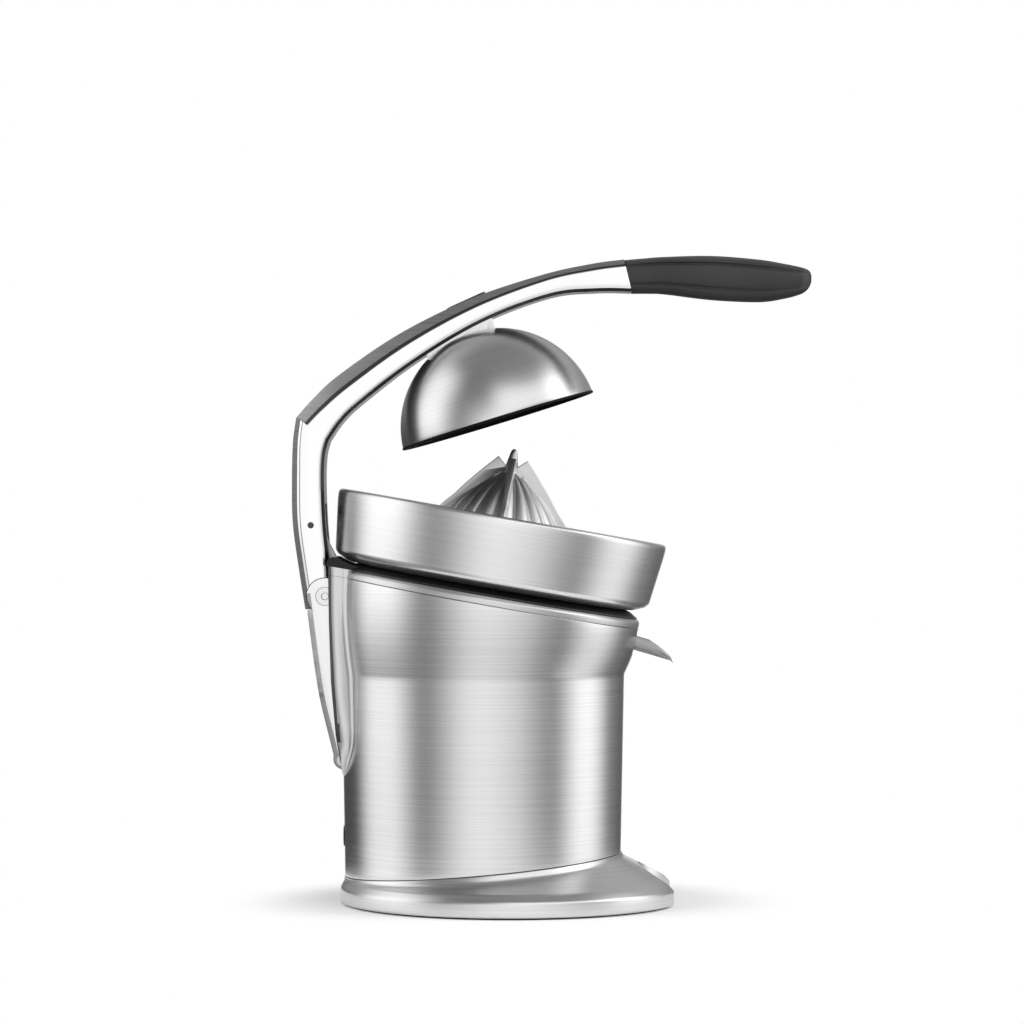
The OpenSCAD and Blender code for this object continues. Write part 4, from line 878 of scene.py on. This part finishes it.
def makeArm():
    kinds = ("armFace", "armBevel", "armLine", "armEdge", "armDeep", "armTop")
    piece = makePiece("armCasting", [armShape()], *[finishes[kind] for kind in kinds], sharp=24)
    x, z = arm["pivot"]
    combine(piece, [
        pinShape(arm["pivot"], arm["headRadius"], -30, 30),  # room for the strut's head
        boxShape((-130, -40, 120), (-70, 40, arm["endZ"])),  # all under the arm's end
        boxShape((x, -40, 140), (x + 40, 40, z)),  # in front of the pivot
        across(arm["hollow"], -arm["hollowHalf"], arm["hollowHalf"]),
        pinShape(arm["pin"], arm["pinRadius"], -30, 30),
    ], finish="armBevel")
    web = [(x - 9, z), (-99.5, 196), (-88.4, 196), (x + 7, z + 3.6)]
    for side in (1, -1):
        ends = sorted(side * y for y in arm["lugs"])
        lug = makePiece("lug", [pinShape(arm["pivot"], arm["lugRadius"], *ends)], finishes["armBevel"])
        combine(lug, [across(web, *ends)], "UNION")
        combine(piece, [lug], "UNION")
    outline = [(plug["half"] * side + plug["radius"] * math.cos(a), plug["radius"] * math.sin(a))
               for side, first in ((1, -90), (-1, 90))
               for a in [math.radians(first + 15 * k) for k in range(13)]]
    recess = Matrix.Translation(plug["place"]) @ turned("Y", plug["lean"])
    combine(piece, [upright(outline, -plug["depth"], 20, recess)], finish="armBevel")
    tidyMesh(piece.data, 24)
    return dress(piece, "arm", "arm_cast", "arm_casting")


makeArm()
print("arm made")


# Column at the back: rounded cheeks with a raised lip where they meet the body
column.update({
    "back": [(70, -78.6), (74, -79.4), (96, -82.6), (127, -85.3), (160, -86.4), (195, -87)],
    # share of the way from the back to the body, and depth under the cheek's plane
    "cheek": [(0.01, 2.6), (0.05, 1.75), (0.1, 1.05), (0.17, 0.48), (0.25, 0.15), (0.34, 0)],
    "groove": [(0.44, 0.1), (0.54, 0.36), (0.64, 0.8), (0.71, 1.2), (0.75, 0.98), (0.79, 0.66),
               (0.83, 0.48), (0.88, 0.42), (0.93, 0.52), (1, 0.85)],
    "fullWidth": 9, "turnIn": 0.42, "turnInZ": (84, 118), "grooveTop": 0.25, "grooveZ": (130, 175),
    "channelHalf": 19.0, "channelZ": 76.1, "channelX": -69.5, "front": -66.0,
    "lugs": (3.8, 6.5), "lugEye": (-78, 178.5), "lugRadius": 4.6,
    "lugPlate": [(-66.5, 168), (-66.5, 183.2), (-78, 183.1), (-82, 176.2)],
    # where painted shade goes on the rounding at the back
    "darkDepth": 2.4, "darkWidth": 4.5, "darkFrom": 92, "darkTurn": (-0.97, -0.42),
})


# Where the body's surface stands at a height, a given way out to the side
def bodyX(y, z):
    if z < body["neckZ"]:
        share = (z - body["footZ"]) / (body["neckZ"] - body["footZ"])
        radius = body["footRadius"] + (body["radius"] - body["footRadius"]) * share
        return -math.sqrt(radius ** 2 - y ** 2)
    low, high = 0.0, 1.0
    for _ in range(24):
        t = (low + high) / 2
        point = flarePoint(math.pi - math.asin(y / flareRadius(t)), t)
        low, high = (t, high) if point.z < z else (low, t)
    return point.x


def between(table, at):
    for (a, first), (b, second) in zip(table, table[1:]):
        if at <= b:
            return first + (second - first) * max(0, at - a) / (b - a)
    return table[-1][1]


# 1 under a stretch of heights, falling to 0 at its top
def fading(stretch, z):
    low, high = stretch
    return min(1, max(0, (high - z) / (high - low)))


def columnRing(z):
    reach = column["footZ"] + column["round"] - z
    half = column["width"] / 2
    if reach > 0:
        half *= math.sqrt(max(0.0004, 1 - (reach / column["round"]) ** 2))
    back = between(column["back"], z)
    wide = bodyX(half, z) - back
    deep = min(1, wide / column["fullWidth"])
    turnIn = column["turnIn"] * fading(column["turnInZ"], z)
    grooved = column["grooveTop"] + (1 - column["grooveTop"]) * fading(column["grooveZ"], z)
    cheek = column["cheek"] + [(share, depth * grooved) for share, depth in column["groove"]]
    side = [(back + wide * share, half - depth * deep - turnIn * wide * max(0, 0.7 - share))
            for share, depth in cheek]
    side = [(x, max(0.05, y)) for x, y in side] + [(column["front"], max(0.04, side[-1][1] - 0.3))]
    return [Vector((x, y, z)) for x, y in side] + [Vector((x, -y, z)) for x, y in reversed(side)]


def columnLength():
    low, bend, rest = column["footZ"] + 0.15, column["round"], 100
    heights = [low + bend * (1 - math.cos(math.pi / 2 * k / 14)) for k in range(14)]
    heights += [low + bend + rest * k / 44 for k in range(45)]
    half = column["channelHalf"]
    piece = makePiece("columnCasting", [loft([columnRing(z) for z in heights])], finishes["column"])
    channel = boxShape((-130, -half, column["channelZ"]), (column["channelX"], half, 240))
    return combine(piece, [channel])


# Everything between two heights of the leaning frame
def leaningSlab(low, high):
    return boxShape((-200, -50, low), (60, 50, high), leanFrame)


# Painted shade: the rounding at the column's back gets a near-black finish for the dark it reflects
def paintBackShade(piece):
    piece.data.materials.append(finishes["armDeep"])
    low, high = column["darkTurn"]
    for face in piece.data.polygons:
        middle = face.center / mm
        back = between(column["back"], middle.z) + column["darkDepth"]
        beside = abs(middle.y) > column["width"] / 2 - column["darkWidth"]
        if (beside and middle.z > column["darkFrom"] and middle.x < back
                and low < face.normal.x < high):
            face.material_index = len(piece.data.materials) - 1


def makeColumn():
    piece = columnLength()
    combine(piece, [leaningSlab(body["seamV"] - 0.12, body["seamV"] + 60)])
    for side in (1, -1):
        ends = sorted(side * y for y in column["lugs"])
        combine(piece, [pinShape(column["lugEye"], column["lugRadius"], *ends)], "UNION")
        combine(piece, [across(column["lugPlate"], *ends)], "UNION")
    tidyMesh(piece.data, 26)
    paintBackShade(piece)
    return dress(piece, "root", "satin_cast", "column_casting")


makeColumn()
print("column made")


# Collar round the body's top, with a cap that carries on the column's shape
collar = {"height": 4.8, "deckRadius": 82.9, "outerRadius": 87.0, "low": 4.0, "innerRadius": 84.1}


def makeCollar():
    low = body["seamV"] + 0.02
    top, r, inner = low + collar["height"], collar["outerRadius"], collar["deckRadius"]
    foot = body["seamV"] - collar["low"]
    profile = [(r, low, 0.25), (r, top - 1.6, 0.9), (r - 1.6, top, 0.5), (inner, top, 0.2),
               (inner, foot, 0.2), (collar["innerRadius"], foot, 0.2), (r - 1.5, low, 0.1)]
    ring = makePiece("topCollar", [lathe(profile, axisFrame, 288, 3)], finishes["column"])
    cap = columnLength()
    inside = rodShape(inner, foot - 9, top + 9, axisFrame, 288)
    combine(cap, [leaningSlab(0, low), leaningSlab(top, top + 60), inside])
    combine(ring, [cap], "UNION")
    half, wide = column["channelHalf"], column["width"] / 2 + 0.3
    channel = boxShape((-132, -half, low - 20), (-72, half, top + 20), leanFrame)
    cheeks = boxShape((-150, -wide, low - 30), (-90, wide, low), leanFrame)
    combine(ring, [portShape(), channel, cheeks])
    softenEdges(ring, 0.3, 2, 40)
    tidyMesh(ring.data, 30)
    # the cap's back rounding gets the same painted shade
    paintBackShade(ring)
    return dress(ring, "root", slotOf("top_collar"), "top_collar")


makeCollar()
print("collar made")


# Strut: a smooth plate with a broad bevel along its outer edge
strut = {
    "edge": [(-79.5, 73), (-82.9, 78.4), (-86.9, 94.6), (-92.3, 117), (-96, 140.2), (-99.4, 166.6),
             (-100.6, 176)],
    # what the bevel takes away: way in from the edge, and way out from the middle
    "cut": [(-1.2, 14.6), (4, 18.75), (-1.2, 18.75)],
}


def makeStrut():
    piece = solidCopy("strut", "strut", finishes["strut"], finishes["armTop"])
    path = curveRows(strut["edge"], 6)
    for side in (1, -1):
        rows = []
        for k, (x, z) in enumerate(path):
            run = (path[min(k + 1, len(path) - 1)] - path[max(k - 1, 0)]).normalized()
            inward = Vector((run.y, 0, -run.x))
            rows.append([Vector((x, side * y, z)) + inward * a for a, y in strut["cut"]])
        points, faces = loft(rows)
        cutter = makePiece("rimCutter", [(points, faces, [1] * len(faces))],
                           finishes["strut"], finishes["armTop"])
        combine(piece, [cutter])
    softenEdges(piece, 0.3, 2)
    return dress(piece, bodyOf("strut"), slotOf("strut"), "strut")


makeStrut()
print("strut made")


# Spout: an open channel with rounded sides that narrows to a beak
spout = {
    "slope": 6.4, "root": (61.0, 156.4), "half": 11.0, "wall": 1.5, "leanIn": 0.2,
    "noseStart": 8.0, "noseLength": 14.5, "beakFrom": 20.5, "beakRise": 0.6,
    "top": [(-13, 7.8), (6, 7.8), (10, 6.5), (14.3, 4.9), (17, 3.75), (19, 2.6), (20.7, 0.9),
            (22, -0.75)],
    "pin": (-8, 3.5), "pinRadius": 1.62,
}


def makeSpout():
    place = leanFrame @ Matrix.Translation((spout["root"][0], 0, spout["root"][1]))
    place = place @ turned("Y", spout["slope"])
    rows = []
    for x in [-13, -6, 0, 4] + [6 + 16 * k / 30 for k in range(31)]:
        nose = max(0, x - spout["noseStart"]) / spout["noseLength"]
        half = spout["half"] * math.sqrt(1 - nose * nose)
        top = between(spout["top"], x)
        low = min(0, (spout["beakFrom"] - x) * spout["beakRise"])
        floor = min(top - 0.02, low + spout["wall"])
        ring = []
        for wide, bottom in ((half, low), (max(0.3, half - spout["wall"]), floor)):
            arc = [math.pi / 2 * (k / 9 - 1) for k in range(19)]
            curve = []
            for a in arc:
                share = 1 - math.cos(a) ** 0.7
                out = wide * abs(math.sin(a)) ** 0.6 * (1 - spout["leanIn"] * share ** 2)
                curve.append(Vector((x, math.copysign(out, a), bottom + (top - bottom) * share)))
            ring += curve if not ring else curve[::-1]
        rows.append([place @ p for p in ring])
    piece = makePiece("spout", [loft(rows)], finishes["spout"], sharp=50)
    points, faces = pinShape(spout["pin"], spout["pinRadius"], -30, 30, 32)
    combine(piece, [([place @ p for p in points], faces)])
    tidyMesh(piece.data, 40)
    return dress(piece, bodyOf("spout"), slotOf("spout"), "spout")


makeSpout()
print("spout made")


# Pieces whose construction solid only needs its edges rounded
softened = {
    # node: (name, finish, edge width, segments)
    "deck": ("deck", "deck", 0.5, 3),
    "front_link": ("frontLink", "machined", 0.4, 2),
    "dome_mount": ("domeMount", "cast", 0.35, 2),
    "cover_plug": ("coverPlug", "black", 0.3, 2),
    "outlet_chute": ("outletChute", "black", 0.4, 2),
    "cord_gland": ("cordGland", "rubber", 0.4, 2),
    "pivot_bolts": ("pivotBolts", "plated", 0.2, 2),
}
for node, (name, finish, width, segments) in softened.items():
    softCopy(node, name, finishes[finish], width, segments)


# A slope from the deck down to the collar; the deck's hoods at the channel get bright sides
skirt = {"inset": 6, "edgeInset": 1.9, "gap": 0.3, "lip": 0.4, "rise": 3.7, "beside": 17,
         "hoodX": -66, "hoodY": 20}


def makeDeckSkirt():
    low = body["seamV"] + collar["height"] + 0.3
    foot = low + skirt["gap"]
    inner, outer = collar["deckRadius"] - skirt["inset"], collar["outerRadius"] - skirt["edgeInset"]
    ring = [(inner, foot, 0), (outer, foot, 0.2), (outer - skirt["lip"], foot + skirt["lip"], 0.2),
            (inner, low + skirt["rise"], 0)]
    piece = makePiece("deckSkirt", [lathe(ring, axisFrame, 288, 2)], finishes["skirt"])
    half = column["channelHalf"] + skirt["beside"]
    combine(piece, [boxShape((-132, -half, 100), (-60, half, 240))])
    dress(piece, "root", slotOf("deck"))
    deck = bpy.data.objects["deck"].data
    deck.materials.append(finishes["cast"])
    for face in deck.polygons:
        middle = face.center / mm
        if middle.x < skirt["hoodX"] and abs(middle.y) > skirt["hoodY"] and face.normal.z < 0.6:
            face.material_index = 1


# The plug stands a little proud of the arm
def raisePlug():
    mesh = bpy.data.objects["coverPlug"].data
    up = turned("Y", plug["lean"]) @ Vector((0, 0, 1))
    middle = sum((point.co for point in mesh.vertices), Vector()) / len(mesh.vertices)
    for point in mesh.vertices:
        if (point.co - middle).dot(up) > 0:
            point.co += up * plug["rise"] * mm


# Painted shade: the faces inside the pivot bolts' hexagon sockets get a near-black finish
socket = {"reach": 3.4, "faceY": 17.9}


def paintSocketShade():
    mesh = bpy.data.objects["pivotBolts"].data
    mesh.materials.append(finishes["armEdge"])
    for face in mesh.polygons:
        middle = face.center / mm
        reach = math.hypot(middle.x - arm["pivot"][0], middle.z - arm["pivot"][1])
        inside = reach < socket["reach"] and abs(middle.y) < socket["faceY"]
        if inside and abs(face.normal.y) < 0.9:
            face.material_index = 1


makeDeckSkirt()
raisePlug()
paintSocketShade()
print("softened pieces made:", len(softened))


# The other construction solids keep their shape and get a finish of their own
carried = {
    "rubber": ["rubber_sole", "spindle_seal"],
    "armEdge": ["link_head_pin"],
    "machined": ["base_plate", "strut_pin", "link_foot_pin", "link_spacers",
                 "pivot_washers", "motor_can", "motor_magnets", "spindle_clip"],
    "plated": ["base_screws", "deck_screws", "gearbox_screws", "motor_screws", "dome_screws",
               "idler_axle", "spindle_shaft", "motor_shaft", "spout_pin"],
    "black": ["gearbox_cover", "gearbox_case", "motor_end_cap", "micro_switch"],
    "bronze": ["spindle_bushes", "motor_bushes", "motor_pinion"],
    "copper": ["armature", "commutator"],
    "nylon": ["idler_gear", "output_gear"],
    "red": ["switch_plunger"],
}
for finish, names in carried.items():
    for name in names:
        slots = frame["nodes"][name].material_slots
        if not slots:
            frame["nodes"][name].data.materials.append(finishes[finish])
        for place in slots:
            place.material = finishes[finish]
print("carried solids finished")


# Floor: a pale disc that fades to white towards its edge
studio = {
    "floorX": 0.0155, "floorRadius": 0.2, "fadeFrom": 0.1, "fadeTo": 0.165, "floorColour": 0.85,
}


def makeFloor():
    finish, start = newFinish("paleFloor")
    at = start.node("ShaderNodeTexCoord", output="Object")
    away = start.node("ShaderNodeVectorMath", {"operation": "LENGTH"}, {0: at}, output="Value")
    path = start.node("ShaderNodeLightPath")
    seen = path.other("Is Camera Ray") + path.other("Is Glossy Ray") + path.other("Is Transmission Ray")
    fade = away.smooth(studio["fadeFrom"], studio["fadeTo"]) * seen
    matt = start.node("ShaderNodeBsdfDiffuse", None, {"Color": grey(studio["floorColour"])})
    white = start.node("ShaderNodeEmission", None, {"Strength": 1.0})
    both = start.node("ShaderNodeMixShader", None, {0: fade, 1: matt, 2: white})
    start.node("ShaderNodeOutputMaterial", None, {"Surface": both})
    count = 96
    ring = [Vector((math.cos(2 * math.pi * i / count), math.sin(2 * math.pi * i / count), 0))
            * studio["floorRadius"] / mm for i in range(count)]
    floor = makePiece("floor", [(ring, [tuple(range(count))])], finish)
    floor.location.x = studio["floorX"]


makeFloor()


# Surroundings: soft panels with grey between them, and a white backdrop behind the press
panels = [
    # turn from the camera's side in degrees, half width, softness, level, share low down,
    # and the rise where the panel ends
    (-91, 19.5, 22.5, 1.17, 0.08, 48),
    (-2, 16, 34, 0.43, 0.8, 20),
    (8, 30, 26, 0.43, 0.8, 20),
    (94, 14, 22, 1.22, 0.6, 46),
]
surroundings = {
    # a pair is where a change begins and where it ends, in degrees
    "base": 0.32, "baseLowShare": 0.78, "low": (-23, -3),
    # the base fades upwards, and towards the back near the floor
    "baseFade": (8, 26), "baseHighShare": 0.6, "backRise": (-2, 10),
    "leftBack": (100, 128), "leftBackLoss": 0.75, "rightBack": (118, 158), "rightBackLoss": 0.55,
    # one more panel high up on the right, and a grey field above the backdrop
    "highTurn": 48, "highHalf": 55, "highSoft": 14, "highFrom": 20, "highTo": 46, "highFade": 8,
    "highLevel": 1.2, "aboveTurn": (45, 80), "aboveRise": (14, 28), "aboveBack": 0.28,
    "ceiling": 0.24, "ceilingRise": (54, 72), "backdropHalf": 9.5, "backdropSoft": 3.0,
}


def makeSurroundings():
    world = bpy.data.worlds.new("surroundings")
    world.use_nodes = True
    world.node_tree.nodes.clear()
    start = Wire(world.node_tree)
    way = start.node("ShaderNodeTexCoord", output="Generated")
    parts = start.node("ShaderNodeSeparateXYZ", None, {0: way})
    turn = start.math("ARCTAN2", parts.other("X"), parts.other("Y") * -1) * (180 / math.pi)
    rise = start.math("ARCSINE", parts.other("Z")) * (180 / math.pi)
    look = surroundings
    # a surface that leans by a given angle mirrors a lower place at the front than at the side
    squash = start.math("MAXIMUM", start.math("COSINE", turn * (math.pi / 360)), 0.3)
    low = start.math("DIVIDE", rise, squash).smooth(*look["low"])
    light = (low * (1 - look["baseLowShare"]) + look["baseLowShare"]) * look["base"]
    light = light * (1 - rise.smooth(*look["baseFade"]) * (1 - look["baseHighShare"]))
    back = (turn * -1).smooth(*look["leftBack"]) * look["leftBackLoss"]
    back = back + turn.smooth(*look["rightBack"]) * look["rightBackLoss"]
    light = light * (1 - back * (1 - rise.smooth(*look["backRise"])))
    for middle, half, soft, level, share, end in panels:
        away = start.math("ABSOLUTE", turn - middle)
        panel = (1 - away.smooth(half - soft / 2, half + soft)) * (1 - rise.smooth(end - 10, end + 12))
        light = light + panel * (low * (1 - share) + share) * level
    away = start.math("ABSOLUTE", turn - look["highTurn"])
    panel = 1 - away.smooth(look["highHalf"] - look["highSoft"], look["highHalf"] + look["highSoft"])
    begins, ends = [rise.smooth(at - look["highFade"], at + look["highFade"])
                    for at in (look["highFrom"], look["highTo"])]
    light = light + panel * (begins * (1 - ends)) * look["highLevel"]
    behind = 180 - start.math("ABSOLUTE", turn)
    above = (1 - behind.smooth(*look["aboveTurn"])) * rise.smooth(*look["aboveRise"])
    light = light + above * look["aboveBack"]
    high = rise.smooth(*look["ceilingRise"])
    light = light * (1 - high) + high * look["ceiling"]
    away = start.math("MAXIMUM", behind, start.math("ABSOLUTE", rise))
    backdrop = 1 - away.smooth(look["backdropHalf"], look["backdropHalf"] + look["backdropSoft"])
    light = light * (1 - backdrop) + backdrop
    shade = start.node("ShaderNodeBackground", None, {"Color": (1, 1, 1, 1), "Strength": light})
    start.node("ShaderNodeOutputWorld", None, {"Surface": shade})
    bpy.context.scene.world = world


makeSurroundings()

lamps = {
    # name: (place, size, power)
    "leftPanel": ((-1.3, -0.5, 0.9), 0.9, 9.0),
    "rightPanel": ((1.4, -0.2, 0.8), 0.8, 7.0),
    "topPanel": ((0.1, -0.3, 1.6), 1.2, 10.0),
}
lampTarget = Vector((0, 0, 0.16))
for name, (place, size, power) in lamps.items():
    light = bpy.data.lights.new(name, "AREA")
    light.shape = "SQUARE"
    light.size = size
    light.energy = power
    lamp = addObject(name, light)
    lamp.location = place
    lamp.rotation_euler = (lampTarget - Vector(place)).to_track_quat("-Z", "Y").to_euler()
    lamp.visible_glossy = False

bpy.context.scene.view_settings.view_transform = "Standard"
print("studio made")
